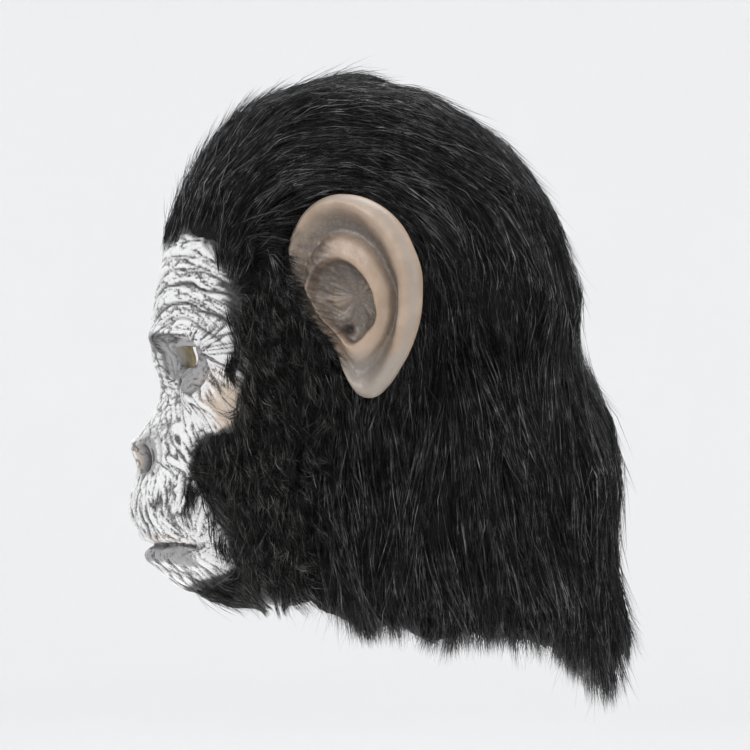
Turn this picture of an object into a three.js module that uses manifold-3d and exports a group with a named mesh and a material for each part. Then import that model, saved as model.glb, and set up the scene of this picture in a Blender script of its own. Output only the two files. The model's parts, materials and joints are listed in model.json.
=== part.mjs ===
// A pull-over ape mask: a hollow latex casting of the head, two glued ears and panels of long-pile fur.
// Millimetres, +Z up. The face looks towards -Y and the wearer's left is +X. The origin is the point
// inside the crown that rests on the top of the wearer's head.

import * as THREE from 'three';
import { mergeVertices } from 'three/addons/utils/BufferGeometryUtils.js';
import Module from 'manifold-3d';

const wasm = await Module();
wasm.setup();

// Latex casting
const WALL = 2.5;
const HEAD_HEIGHT = 296;
const FRONT_REACH = 106;
const BACK_REACH = 103;
const HALF_WIDTH = 94;
const EAR_LINE = -14;
const RIM_RISE = 28;

// Face
const MUZZLE_REACH = 37;
const MUZZLE_HALF_WIDTH = 57;
const EYE_SPACING = 70;
const EYE_LEVEL = 147;
const EYE_LENGTH = 31;
const EYE_HEIGHT = 12;
const EYE_SLANT = 14;

// Ears
const EAR_HEIGHT = 119;
const EAR_WIDTH = 82;
const EAR_FLARE = 25;
const EAR_STAND_OFF = 18;
const EAR_LEVEL = 110;
const EAR_SETBACK = 8;
const EAR_THICKNESS = 7;
const EAR_FOLD = 5;
const CONCHA_DEPTH = 9;
const EAR_CANAL = 4.4;

// Fur
const FUR_TOP = 24;
const FUR_HEIGHT = 324;
const FUR_FRONT_REACH = 107;
const FUR_BACK_REACH = 180;
const FUR_HALF_WIDTH = 111;
const MANE_DROP = 18;
const SHORT_FUR = 7;
const LOCK_LENGTH = 70;
const LOCK_WIDTH = 26;
const LOCK_RIDGE = 6;
const LOCK_SINK = 3;

// Clearance between neighbouring pieces
const FIT_GAP = 0.35;

const RADIANS = Math.PI / 180;

// The head from crown to neck rim. level is a share of the head's height, front of its front reach,
// back of its back reach, side of its half width, and cuts is how many facets a face column has
// down to the next section.
const HEAD_SECTIONS = [
  { level: 0.005, front: 0.27, back: 0.31, side: 0.34, cuts: 1 },
  { level: 0.027, front: 0.42, back: 0.52, side: 0.53, cuts: 1 },
  { level: 0.068, front: 0.62, back: 0.72, side: 0.72, cuts: 1 },
  { level: 0.135, front: 0.80, back: 0.87, side: 0.87, cuts: 1 },
  { level: 0.203, front: 0.91, back: 0.96, side: 0.96, cuts: 1 },
  { level: 0.270, front: 0.965, back: 1.00, side: 0.99, cuts: 2 },
  { level: 0.372, front: 1.00, back: 0.99, side: 1.00, cuts: 4 },
  { level: 0.473, front: 0.965, back: 0.91, side: 0.98, cuts: 4 },
  { level: 0.574, front: 0.925, back: 0.81, side: 0.94, cuts: 4 },
  { level: 0.676, front: 0.885, back: 0.73, side: 0.88, cuts: 4 },
  { level: 0.777, front: 0.86, back: 0.68, side: 0.82, cuts: 4 },
  { level: 0.861, front: 0.81, back: 0.66, side: 0.765, cuts: 3 },
  { level: 0.919, front: 0.74, back: 0.66, side: 0.735, cuts: 2 },
  { level: 0.953, front: 0.68, back: 0.67, side: 0.715, cuts: 1 },
  { level: 0.976, front: 0.585, back: 0.68, side: 0.705, cuts: 1 },
  { level: 0.988, front: 0.45, back: 0.69, side: 0.70, cuts: 1 },
  { level: 1.000, front: 0.34, back: 0.70, side: 0.70, cuts: 1 },
];

// The face's middle line: reach is how far it stands in front of the head's sections, as a share of
// the muzzle's reach, and spread is the half width that it falls away over, as a share of the muzzle's.
const FACE_RIDGE = [
  { level: 0.200, reach: 0.00, spread: 1.00 },
  { level: 0.250, reach: 0.08, spread: 1.00 },
  { level: 0.350, reach: 0.13, spread: 1.00 },
  { level: 0.412, reach: 0.22, spread: 0.98 },
  { level: 0.463, reach: 0.31, spread: 0.92 },
  { level: 0.505, reach: 0.33, spread: 0.55 },
  { level: 0.544, reach: 0.27, spread: 0.30 },
  { level: 0.585, reach: 0.33, spread: 0.36 },
  { level: 0.618, reach: 0.48, spread: 0.60 },
  { level: 0.645, reach: 0.64, spread: 0.76 },
  { level: 0.676, reach: 0.78, spread: 0.86 },
  { level: 0.730, reach: 0.82, spread: 0.96 },
  { level: 0.787, reach: 0.97, spread: 1.00 },
  { level: 0.820, reach: 1.00, spread: 1.00 },
  { level: 0.850, reach: 0.94, spread: 0.96 },
  { level: 0.880, reach: 0.90, spread: 0.90 },
  { level: 0.910, reach: 0.92, spread: 0.84 },
  { level: 0.946, reach: 0.80, spread: 0.74 },
  { level: 0.966, reach: 0.70, spread: 0.70 },
  { level: 0.988, reach: 0.30, spread: 0.70 },
  { level: 1.000, reach: 0.00, spread: 0.70 },
];

// The fur's outer form from crown to hem, as shares of the fur's own sizes.
const FUR_SECTIONS = [
  { level: 0.012, front: 0.20, back: 0.145, side: 0.27 },
  { level: 0.034, front: 0.36, back: 0.31, side: 0.47 },
  { level: 0.074, front: 0.58, back: 0.495, side: 0.67 },
  { level: 0.117, front: 0.71, back: 0.595, side: 0.79 },
  { level: 0.167, front: 0.81, back: 0.655, side: 0.88 },
  { level: 0.228, front: 0.905, back: 0.728, side: 0.95 },
  { level: 0.312, front: 0.985, back: 0.772, side: 0.99 },
  { level: 0.414, front: 0.985, back: 0.811, side: 1.00 },
  { level: 0.537, front: 0.94, back: 0.867, side: 0.975 },
  { level: 0.673, front: 0.90, back: 0.928, side: 0.955 },
  { level: 0.784, front: 0.87, back: 0.961, side: 0.955 },
  { level: 0.880, front: 0.85, back: 0.94, side: 0.955 },
  { level: 0.950, front: 0.85, back: 0.96, side: 0.955 },
  { level: 1.000, front: 0.74, back: 0.97, side: 0.935 },
];

// The empty space under the fur, below the casting, as shares of the fur's sizes.
const NECK_SECTIONS = [
  { level: 0.790, front: 0.10, back: 0.30, side: 0.45 },
  { level: 0.880, front: 0.28, back: 0.52, side: 0.60 },
  { level: 0.960, front: 0.38, back: 0.72, side: 0.72 },
  { level: 1.150, front: 0.42, back: 0.84, side: 0.79 },
];

// Bumps and dents of the face, alike on both sides. side is the middle's distance from the centre
// line, flat how wide its top is and width how far it falls away, as shares of half the eye spacing.
// level and height are shares of the head's height and relief is a share of the muzzle's reach. soft
// is how much broader the casting's inside follows it, or 0 where it doesn't.
const FACE_FORMS = [
  { form: 'socket', side: 1, flat: 0, width: 0.48, level: 0.507, height: 0.027, relief: -0.216, soft: 1.45 },
  { form: 'brow', side: 0.9, flat: 0, width: 0.62, level: 0.456, height: 0.024, relief: 0.162, soft: 0 },
  { form: 'cheek', side: 1.25, flat: 0, width: 0.5, level: 0.574, height: 0.04, relief: 0.108, soft: 0 },
  { form: 'nostril', side: 0.37, flat: 0, width: 0.125, level: 0.7, height: 0.022, relief: -0.243, soft: 2 },
  { form: 'wing', side: 0.445, flat: 0, width: 0.205, level: 0.689, height: 0.037, relief: 0.135, soft: 0 },
  { form: 'tip', side: 0, flat: 0, width: 0.22, level: 0.676, height: 0.027, relief: 0.108, soft: 0 },
  { form: 'mouth', side: 0, flat: 0.95, width: 0.18, level: 0.875, height: 0.009, relief: -0.108, soft: 0 },
  { form: 'lower lip', side: 0, flat: 0.9, width: 0.2, level: 0.902, height: 0.017, relief: 0.068, soft: 0 },
];

// Edge of the fur round the bare face, seen from the side: ahead is a share of the front reach from
// the ear line, level a share of the head's height.
const HAIRLINE = [
  { ahead: 0.98, level: 0.245 },
  { ahead: 0.80, level: 0.262 },
  { ahead: 0.70, level: 0.315 },
  { ahead: 0.65, level: 0.395 },
  { ahead: 0.62, level: 0.470 },
  { ahead: 0.585, level: 0.545 },
  { ahead: 0.635, level: 0.625 },
  { ahead: 0.83, level: 0.655 },
  { ahead: 0.87, level: 0.700 },
  { ahead: 0.80, level: 0.765 },
  { ahead: 0.70, level: 0.835 },
  { ahead: 0.625, level: 0.890 },
  { ahead: 0.64, level: 0.940 },
  { ahead: 0.79, level: 0.985 },
];

// Ear outline: radius at each turn as a share of half its height. The turn starts at the back edge
// and goes over the top. Bowl, groove and crest are where the bowl's edge, the groove inside the rim
// and the rim's crest lie, as shares of that radius, and fold is how strongly they are raised.
const EAR_OUTLINE = [
  { turn: 0, radius: 0.62, bowl: 0.28, groove: 0.62, crest: 0.72, fold: 1.0 },
  { turn: 20, radius: 0.65, bowl: 0.25, groove: 0.58, crest: 0.72, fold: 1.0 },
  { turn: 40, radius: 0.70, bowl: 0.24, groove: 0.56, crest: 0.73, fold: 1.0 },
  { turn: 58, radius: 0.79, bowl: 0.23, groove: 0.57, crest: 0.75, fold: 1.0 },
  { turn: 75, radius: 0.88, bowl: 0.24, groove: 0.60, crest: 0.79, fold: 1.0 },
  { turn: 91, radius: 0.955, bowl: 0.28, groove: 0.65, crest: 0.85, fold: 1.0 },
  { turn: 106, radius: 0.99, bowl: 0.34, groove: 0.68, crest: 0.88, fold: 1.0 },
  { turn: 121, radius: 0.95, bowl: 0.42, groove: 0.70, crest: 0.90, fold: 0.9 },
  { turn: 138, radius: 0.85, bowl: 0.52, groove: 0.74, crest: 0.91, fold: 0.8 },
  { turn: 158, radius: 0.70, bowl: 0.66, groove: 0.80, crest: 0.92, fold: 0.6 },
  { turn: 180, radius: 0.58, bowl: 0.74, groove: 0.84, crest: 0.93, fold: 0.35 },
  { turn: 206, radius: 0.52, bowl: 0.76, groove: 0.85, crest: 0.93, fold: 0.2 },
  { turn: 232, radius: 0.51, bowl: 0.76, groove: 0.85, crest: 0.93, fold: 0.2 },
  { turn: 252, radius: 0.60, bowl: 0.72, groove: 0.84, crest: 0.93, fold: 0.3 },
  { turn: 263, radius: 0.80, bowl: 0.60, groove: 0.80, crest: 0.92, fold: 0.4 },
  { turn: 271, radius: 0.96, bowl: 0.48, groove: 0.74, crest: 0.90, fold: 0.5 },
  { turn: 279, radius: 1.00, bowl: 0.42, groove: 0.70, crest: 0.88, fold: 0.6 },
  { turn: 288, radius: 0.93, bowl: 0.40, groove: 0.68, crest: 0.86, fold: 0.7 },
  { turn: 301, radius: 0.81, bowl: 0.42, groove: 0.68, crest: 0.84, fold: 0.8 },
  { turn: 320, radius: 0.70, bowl: 0.40, groove: 0.66, crest: 0.78, fold: 0.9 },
  { turn: 340, radius: 0.64, bowl: 0.32, groove: 0.64, crest: 0.74, fold: 1.0 },
];

// Ear profile from the bowl out over the rim and back behind. A station lies between the bowl's
// edge, groove, crest and outer edge in the shares given. Fold is a share of the fold height, depth a
// share of the bowl's depth and back a share of the thickness.
const EAR_PROFILE = [
  { bowl: 0.60, groove: 0, crest: 0, edge: 0, fold: 0.0, depth: 1.00, back: 0 },
  { bowl: 0.90, groove: 0, crest: 0, edge: 0, fold: 0.0, depth: 0.60, back: 0 },
  { bowl: 0.90, groove: 0.1, crest: 0, edge: 0, fold: 0.8, depth: 0.0, back: 0 },
  { bowl: 0.4, groove: 0.6, crest: 0, edge: 0, fold: 0.4, depth: 0.05, back: 0 },
  { bowl: 0, groove: 1, crest: 0, edge: 0, fold: -0.4, depth: 0.1, back: 0 },
  { bowl: 0, groove: 0, crest: 1, edge: 0, fold: 0.9, depth: 0, back: 0 },
  { bowl: 0, groove: 0, crest: 0.4, edge: 0.6, fold: 0.8, depth: 0, back: 0 },
  { bowl: 0, groove: 0, crest: 0, edge: 1, fold: 0.3, depth: 0, back: 0.3 },
  { bowl: 0, groove: 0, crest: 0, edge: 0.97, fold: 0, depth: 0, back: 0.9 },
  { bowl: 0, groove: 0, crest: 0, edge: 0.80, fold: 0, depth: 0.1, back: 1 },
  { bowl: 0, groove: 0, crest: 0, edge: 0.45, fold: 0, depth: 0.9, back: 1 },
];

const mix = (a, b, share) => a + (b - a) * share;
const clamp = (value, low, high) => Math.min(high, Math.max(low, value));
const bell = (distance, width) => Math.exp(-((distance / width) ** 2));

function smoothStep(value, low, high) {
  const share = clamp((value - low) / (high - low), 0, 1);
  return share * share * (3 - 2 * share);
}

// A smooth curve through one column of a table, read at a place in the column named by key.
function readTable(table, key, place, column) {
  const last = table.length - 1;
  let row = 0;
  while (row < last - 1 && table[row + 1][key] < place) row += 1;
  const before = table[Math.max(row - 1, 0)];
  const start = table[row];
  const end = table[row + 1];
  const after = table[Math.min(row + 2, last)];
  const span = end[key] - start[key];
  const share = clamp((place - start[key]) / span, 0, 1);
  const slopeIn = (span * (end[column] - before[column])) / (end[key] - before[key]);
  const slopeOut = (span * (after[column] - start[column])) / (after[key] - start[key]);
  const square = share * share;
  const cube = square * share;
  return (
    (2 * cube - 3 * square + 1) * start[column] +
    (cube - 2 * square + share) * slopeIn +
    (3 * square - 2 * cube) * end[column] +
    (cube - square) * slopeOut
  );
}

// Row numbers make a table readable by row, and a row past either end is clamped.
const numbered = (table) => table.map((entry, row) => ({ ...entry, row }));
const headTable = numbered(HEAD_SECTIONS);
const furTable = numbered(FUR_SECTIONS);
const neckTable = numbered(NECK_SECTIONS);

// The middle ridge of the face: brow, nose root, muzzle and chin.
function ridgeRelief(x, down, soft) {
  const level = down / HEAD_HEIGHT;
  const share = readTable(FACE_RIDGE, 'level', level, 'spread');
  const fall = Math.max(1 - (x / (share * MUZZLE_HALF_WIDTH)) ** 2, 0) ** 1.5;
  const kept = soft ? smoothStep(share, 0.25, 0.85) : 1;
  return readTable(FACE_RIDGE, 'level', level, 'reach') * MUZZLE_REACH * fall * kept;
}

// Where the casting's inside follows a dent, it stands back this much further, to keep the wall.
const SOFT_DEPTH = 1.3;

// How far the face stands in front of the head's sections. Soft relief leaves out what is finer than
// the wall, for the inside of the casting.
function faceRelief(x, down, soft) {
  const eye = EYE_SPACING / 2;
  return FACE_FORMS.reduce((sum, form) => {
    const spread = soft ? form.soft : 1;
    if (spread === 0) return sum;
    const beside = Math.max(Math.abs(Math.abs(x) - form.side * eye) - form.flat * eye, 0);
    const over = down - form.level * HEAD_HEIGHT;
    const share = bell(beside, form.width * eye * spread) * bell(over, form.height * HEAD_HEIGHT * spread);
    return sum + form.relief * MUZZLE_REACH * share * (soft ? SOFT_DEPTH : 1);
  }, ridgeRelief(x, down, soft));
}

// A point of the head's outer skin. turn runs from the nose round past the left ear.
function headSkin(turn, row, soft = false) {
  const ahead = Math.cos(turn);
  const level = readTable(headTable, 'row', row, 'level');
  const reach =
    ahead > 0
      ? readTable(headTable, 'row', row, 'front') * FRONT_REACH
      : readTable(headTable, 'row', row, 'back') * BACK_REACH;
  const x = readTable(headTable, 'row', row, 'side') * HALF_WIDTH * Math.sin(turn);
  const down = level * HEAD_HEIGHT;
  const relief = faceRelief(x, down, soft) * smoothStep(ahead, 0.05, 0.5);
  const rise = (RIM_RISE * smoothStep(level, 0.55, 1) * (1 - ahead)) / 2;
  return new THREE.Vector3(x, EAR_LINE - reach * ahead - relief, WALL - down + rise);
}

// The fur is short beside the face, up to this many degrees round from the nose.
const SHORT_FROM = 38;
const SHORT_TO = 78;

// One row of the fur's form below its hem, as a share of the fur's height, and how far it curls in.
const HEM_ROW = 0.07;
const HEM_CURL = 0.02;

// A point of the fur's outer form. Its rows run past the hem for the tips of the locks.
function furSkin(turn, row) {
  const ahead = Math.cos(turn);
  const lastRow = furTable.length - 1;
  const past = Math.max(row - lastRow, 0);
  const within = Math.min(row, lastRow);
  const level = readTable(furTable, 'row', within, 'level') + past * HEM_ROW;
  const reach =
    ahead > 0
      ? readTable(furTable, 'row', within, 'front') * FUR_FRONT_REACH
      : readTable(furTable, 'row', within, 'back') * FUR_BACK_REACH;
  const side = readTable(furTable, 'row', within, 'side') * FUR_HALF_WIDTH;
  const curl = 1 - HEM_CURL * past;
  const drop = (MANE_DROP * smoothStep(level, 0.6, 1) * (1 - ahead)) / 2;
  const point = new THREE.Vector3(
    side * Math.sin(turn) * curl,
    EAR_LINE - reach * ahead * curl,
    FUR_TOP - level * FUR_HEIGHT - drop,
  );
  const beside = Math.abs(Math.atan2(Math.sin(turn), ahead)) / RADIANS;
  const short = smoothStep(level, 0.28, 0.4) * (1 - smoothStep(beside, SHORT_FROM, SHORT_TO));
  if (short === 0) return point;
  const headLevel = clamp((WALL - point.z) / HEAD_HEIGHT, 0, 1);
  const headRow = readTable(headTable, 'level', headLevel, 'row');
  const close = headSkin(turn, headRow, true);
  close.addScaledVector(point.clone().sub(close).setZ(0).normalize(), SHORT_FUR);
  return point.lerp(new THREE.Vector3(close.x, close.y, point.z), short);
}

// The outward direction of a surface at a turn and row, from its two tangents.
function outward(surface, turn, row) {
  const step = 0.02;
  const across = surface(turn + step, row).sub(surface(turn - step, row));
  const along = surface(turn, row + step * 5).sub(surface(turn, row));
  if (along.length() < 1e-6) along.copy(surface(turn, row)).sub(surface(turn, row - step * 5));
  return along.cross(across).normalize();
}

// A closed body from columns of points that run from one pole to the other. Each point has a row, so
// that columns of unlike fineness are zipped together.
function bodyFromColumns(columns, firstPole, lastPole) {
  const points = [firstPole, lastPole];
  const numberedColumns = columns.map((column) =>
    column.map(({ row, point }) => ({ row, index: points.push(point) - 1 })),
  );
  const faces = [];
  numberedColumns.forEach((left, place) => {
    const right = numberedColumns[(place + 1) % numberedColumns.length];
    faces.push([0, left[0].index, right[0].index]);
    let i = 0;
    let k = 0;
    while (i < left.length - 1 || k < right.length - 1) {
      const stepLeft =
        k === right.length - 1 || (i < left.length - 1 && left[i + 1].row <= right[k + 1].row);
      if (stepLeft) {
        faces.push([left[i].index, left[i + 1].index, right[k].index]);
        i += 1;
      } else {
        faces.push([left[i].index, right[k + 1].index, right[k].index]);
        k += 1;
      }
    }
    faces.push([1, right[k].index, left[i].index]);
  });
  return solidFromFaces(points, faces);
}

function solidFromFaces(points, faces) {
  return new wasm.Manifold(
    new wasm.Mesh({
      numProp: 3,
      vertProperties: Float32Array.from(points.flatMap((point) => point.toArray())),
      triVerts: Uint32Array.from(faces.flat()),
    }),
  );
}

function solidFromGeometry(geometry) {
  geometry.deleteAttribute('normal');
  geometry.deleteAttribute('uv');
  const merged = mergeVertices(geometry, 1e-4);
  return new wasm.Manifold(
    new wasm.Mesh({
      numProp: 3,
      vertProperties: Float32Array.from(merged.attributes.position.array),
      triVerts: Uint32Array.from(merged.index.array),
    }),
  );
}

const middleOf = (points) =>
  points.reduce((sum, point) => sum.add(point), new THREE.Vector3()).divideScalar(points.length);

// Turns and rows of the head's columns: close together over the middle of the face, wide apart round
// the back.
const FACE_TURN = 56;
const MIDDLE_STEP = 0.6;
function headGrid(faceColumns, backColumns, coarseness) {
  const last = headTable.length - 1;
  const backRows = headTable.map((entry) => entry.row);
  const faceRows = headTable.flatMap((entry) => {
    const cuts = entry.row === last ? 1 : Math.ceil(entry.cuts / coarseness);
    return Array.from({ length: cuts }, (unused, cut) => entry.row + cut / cuts);
  });
  const face = Array.from({ length: faceColumns + 1 }, (unused, column) => {
    const share = mix(-1, 1, column / faceColumns);
    const eased = MIDDLE_STEP * share + (1 - MIDDLE_STEP) * share ** 3;
    return { turn: FACE_TURN * eased * RADIANS, rows: faceRows };
  });
  const back = Array.from({ length: backColumns - 1 }, (unused, column) => ({
    turn: mix(FACE_TURN, 360 - FACE_TURN, (column + 1) / backColumns) * RADIANS,
    rows: backRows,
  }));
  return [...face, ...back];
}

// The head as a solid form, grown outwards by an offset.
function headForm(offset) {
  const columns = headGrid(24, 18, 1).map(({ turn, rows }) =>
    rows.map((row) => ({
      row,
      point: headSkin(turn, row).addScaledVector(outward(headSkin, turn, row), offset),
    })),
  );
  const crown = new THREE.Vector3(0, EAR_LINE, WALL + offset);
  const ends = columns.map((column) => column[column.length - 1].point);
  return bodyFromColumns(columns, crown, middleOf(ends));
}

// The space inside the casting, carried on below the rim.
const INSIDE_RUN_OUT = 14;
function headHollow() {
  const softSkin = (turn, row) => headSkin(turn, row, true);
  const columns = headGrid(12, 12, 2).map(({ turn, rows }) => {
    const inside = rows.map((row) => ({
      row,
      point: softSkin(turn, row).addScaledVector(outward(softSkin, turn, row), -WALL),
    }));
    const rim = inside[inside.length - 1];
    inside.push({ row: rim.row + 1, point: rim.point.clone().setZ(rim.point.z - INSIDE_RUN_OUT) });
    return inside;
  });
  const crown = new THREE.Vector3(0, EAR_LINE, 0);
  const ends = columns.map((column) => column[column.length - 1].point);
  return bodyFromColumns(columns, crown, middleOf(ends));
}

// An almond opening cut straight back through the face, its inner corner a little lower.
function eyeCutter(side) {
  const half = EYE_LENGTH / 2;
  const outline = new THREE.Shape();
  outline.moveTo(-half, 0);
  outline.quadraticCurveTo(0, EYE_HEIGHT, half, 0);
  outline.quadraticCurveTo(0, -EYE_HEIGHT, -half, 0);
  const depth = FRONT_REACH;
  const cutter = new THREE.ExtrudeGeometry(outline, { depth, bevelEnabled: false, curveSegments: 8 });
  cutter.rotateZ(side * EYE_SLANT * RADIANS);
  cutter.rotateX(Math.PI / 2);
  cutter.translate((side * EYE_SPACING) / 2, EAR_LINE - depth * 0.5, WALL - EYE_LEVEL);
  return solidFromGeometry(cutter);
}

// The ear's own frame: u towards the back edge, v up, n out of the bowl.
const flare = EAR_FLARE * RADIANS;
const earMiddle = new THREE.Vector3(
  HALF_WIDTH + EAR_STAND_OFF,
  EAR_LINE + EAR_SETBACK,
  WALL - EAR_LEVEL,
);
function earPoint(side, u, v, n) {
  return new THREE.Vector3(
    side * (earMiddle.x + u * Math.sin(flare) + n * Math.cos(flare)),
    earMiddle.y + u * Math.cos(flare) - n * Math.sin(flare),
    earMiddle.z + v,
  );
}

// The outline is squeezed to the ear's width.
const outlineAcross = EAR_OUTLINE.map((place) => place.radius * Math.cos(place.turn * RADIANS));
const outlineWidth = ((Math.max(...outlineAcross) - Math.min(...outlineAcross)) * EAR_HEIGHT) / 2;
const EAR_SQUEEZE = EAR_WIDTH / outlineWidth;

// The cast ear without its root.
function earPlate(side) {
  return earBody(side, EAR_PROFILE.map((entry) => ({ ...entry, lift: 0, grow: 0 })));
}

// The room that the ear needs: its own form grown by the clearance, and everything out beyond it.
function earRoom(side) {
  const grown = EAR_PROFILE.map((entry) => {
    const rim = entry.edge > 0.9 ? FIT_GAP : 0;
    return { ...entry, lift: -FIT_GAP, grow: rim };
  });
  const rim = grown.findIndex((entry) => entry.back > 0);
  const lifted = grown.slice(0, rim + 1).map((entry) => ({ ...entry, lift: FRONT_REACH }));
  return earBody(side, [...lifted, ...grown.slice(rim)]);
}

function earBody(side, profile) {
  const columns = EAR_OUTLINE.map((place) =>
    profile.map((entry, row) => {
      const share =
        entry.bowl * place.bowl + entry.groove * place.groove + entry.crest * place.crest + entry.edge;
      const out = (place.radius * share * EAR_HEIGHT) / 2 + entry.grow;
      const raised = EAR_FOLD * place.fold * entry.fold;
      const n = raised - CONCHA_DEPTH * entry.depth - EAR_THICKNESS * entry.back + entry.lift;
      const turn = place.turn * RADIANS;
      return { row, point: earPoint(side, out * Math.cos(turn) * EAR_SQUEEZE, out * Math.sin(turn), n) };
    }),
  );
  if (side < 0) columns.reverse();
  const bowl = earPoint(side, 0, 0, profile[0].lift - CONCHA_DEPTH);
  const behind = earPoint(side, 0, 0, profile[profile.length - 1].lift - CONCHA_DEPTH - EAR_THICKNESS);
  return bodyFromColumns(columns, bowl, behind);
}

// The root that carries the ear, an oval stalk from its back into the head's side.
const ROOT_COLUMNS = 14;
function earRoot(side, grow) {
  const columns = Array.from({ length: ROOT_COLUMNS }, (unused, column) => {
    const turn = (column / ROOT_COLUMNS) * 2 * Math.PI;
    return [CONCHA_DEPTH + EAR_THICKNESS * 0.5, CONCHA_DEPTH + EAR_STAND_OFF * 3].map((depth, row) => {
      const swell = 1 + row * 0.25;
      const u = -EAR_WIDTH * 0.08 + (EAR_WIDTH * 0.24 * swell + grow) * Math.cos(turn);
      const v = (EAR_HEIGHT * 0.27 * swell + grow) * Math.sin(turn);
      return { row, point: earPoint(side, u, v, -depth) };
    });
  });
  if (side < 0) columns.reverse();
  const near = middleOf(columns.map((column) => column[0].point));
  const far = middleOf(columns.map((column) => column[1].point));
  return bodyFromColumns(columns, near, far);
}

function canalCutter(side) {
  const radius = EAR_CANAL / 2;
  const drill = new THREE.CylinderGeometry(radius, radius, CONCHA_DEPTH * 2, 10);
  drill.rotateZ(Math.PI / 2);
  const mouth = earPoint(side, -EAR_WIDTH * 0.1, -EAR_HEIGHT * 0.17, -CONCHA_DEPTH * 0.8);
  drill.translate(mouth.x, mouth.y, mouth.z);
  return solidFromGeometry(drill);
}

// One lock of fur lying on the fur's outer form: a long lozenge with a ridge, pointed at its tip.
const LOCK_STATIONS = [
  { along: 0.12, width: 0.7, ridge: 0.6 },
  { along: 0.45, width: 1.0, ridge: 1.0 },
  { along: 0.8, width: 0.6, ridge: 0.8 },
];
function furLock(turn, row, rows, lean, size) {
  const rings = LOCK_STATIONS.map((station) => {
    const at = row + rows * station.along;
    const way = turn + lean * station.along;
    const out = outward(furSkin, way, Math.min(at, furTable.length - 1));
    const middle = furSkin(way, at);
    const across = new THREE.Vector3(0, 0, 1).cross(out).normalize();
    const half = (LOCK_WIDTH / 2) * size * station.width;
    const ridge = LOCK_RIDGE * size * station.ridge;
    return [
      middle.clone().addScaledVector(across, -half).addScaledVector(out, -LOCK_SINK),
      middle.clone().addScaledVector(out, ridge),
      middle.clone().addScaledVector(across, half).addScaledVector(out, -LOCK_SINK),
    ];
  });
  const columns = [0, 1, 2].map((corner) => rings.map((ring, at) => ({ row: at, point: ring[corner] })));
  const root = furSkin(turn, row);
  const tip = furSkin(turn + lean, row + rows);
  return bodyFromColumns(columns, root, tip);
}

// The fur as one body before it is cut into panels: its form, every lock, and the spaces left free.
const FUR_COLUMNS = 26;
function furForm() {
  const rows = furTable.map((entry) => entry.row);
  const columns = Array.from({ length: FUR_COLUMNS }, (unused, column) => {
    const turn = (column / FUR_COLUMNS) * 2 * Math.PI;
    const strand = column % 2 === 0 ? 1 : -1;
    return rows.map((row) => {
      const depth = LOCK_RIDGE * 0.3 * smoothStep(row, 2, 6) * strand;
      return {
        row,
        point: furSkin(turn, row).addScaledVector(outward(furSkin, turn, row), depth),
      };
    });
  });
  const top = new THREE.Vector3(0, EAR_LINE, FUR_TOP);
  const ends = columns.map((column) => column[column.length - 1].point);
  return bodyFromColumns(columns, top, middleOf(ends));
}

const NECK_COLUMNS = 24;
function neckSpace() {
  const columns = Array.from({ length: NECK_COLUMNS }, (unused, column) => {
    const turn = (column / NECK_COLUMNS) * 2 * Math.PI;
    const ahead = Math.cos(turn);
    return neckTable.map((entry) => {
      const reach = ahead > 0 ? entry.front * FUR_FRONT_REACH : entry.back * FUR_BACK_REACH;
      return {
        row: entry.row,
        point: new THREE.Vector3(
          entry.side * FUR_HALF_WIDTH * Math.sin(turn),
          EAR_LINE - reach * ahead,
          FUR_TOP - entry.level * FUR_HEIGHT,
        ),
      };
    });
  });
  const top = middleOf(columns.map((column) => column[0].point));
  const bottom = middleOf(columns.map((column) => column[column.length - 1].point));
  return bodyFromColumns(columns, top, bottom);
}

// A region seen from the side, given by points ahead of the ear line and below the crown, and run
// right through from ear to ear.
const THROUGH = (HALF_WIDTH + EAR_STAND_OFF + EAR_WIDTH) * 2;
const besideHead = (place) =>
  new THREE.Vector2(EAR_LINE - place.ahead * FRONT_REACH, WALL - place.level * HEAD_HEIGHT);
function sideRegion(corners, from = -THROUGH / 2, width = THROUGH) {
  const slab = new THREE.ExtrudeGeometry(new THREE.Shape(corners), { depth: width, bevelEnabled: false });
  const turned = new THREE.Matrix4().makeBasis(
    new THREE.Vector3(0, 1, 0),
    new THREE.Vector3(0, 0, 1),
    new THREE.Vector3(1, 0, 0),
  );
  slab.applyMatrix4(turned);
  slab.translate(from, 0, 0);
  return solidFromGeometry(slab);
}

// The bare face, open to the front of the hairline.
function faceRegion() {
  const line = new THREE.SplineCurve(HAIRLINE.map(besideHead)).getPoints(HAIRLINE.length * 2);
  const first = line[0];
  const last = line[line.length - 1];
  const ahead = EAR_LINE - FRONT_REACH * 2;
  return sideRegion([new THREE.Vector2(ahead, first.y), ...line, new THREE.Vector2(ahead, last.y)].reverse());
}

// Where one panel of fur ends and the next starts, seen from the side.
const seam = {
  top: besideHead({ ahead: -0.30, level: -0.2 }),
  crown: besideHead({ ahead: -0.30, level: -0.035 }),
  behindEar: besideHead({ ahead: -0.50, level: 0.285 }),
  earTop: besideHead({ ahead: 0.10, level: 0.285 }),
  temple: besideHead({ ahead: 0.40, level: 0.300 }),
  forehead: besideHead({ ahead: 1.80, level: 0.345 }),
  underEar: besideHead({ ahead: 0.02, level: 0.60 }),
  jaw: besideHead({ ahead: 0.22, level: 0.925 }),
  jawBottom: besideHead({ ahead: 0.22, level: 1.40 }),
  chin: besideHead({ ahead: 1.80, level: 0.925 }),
};
const far = FUR_BACK_REACH * 2;
const above = (place) => new THREE.Vector2(place.x, place.y + FIT_GAP);
const before = (place) => new THREE.Vector2(place.x - FIT_GAP, place.y);

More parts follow.
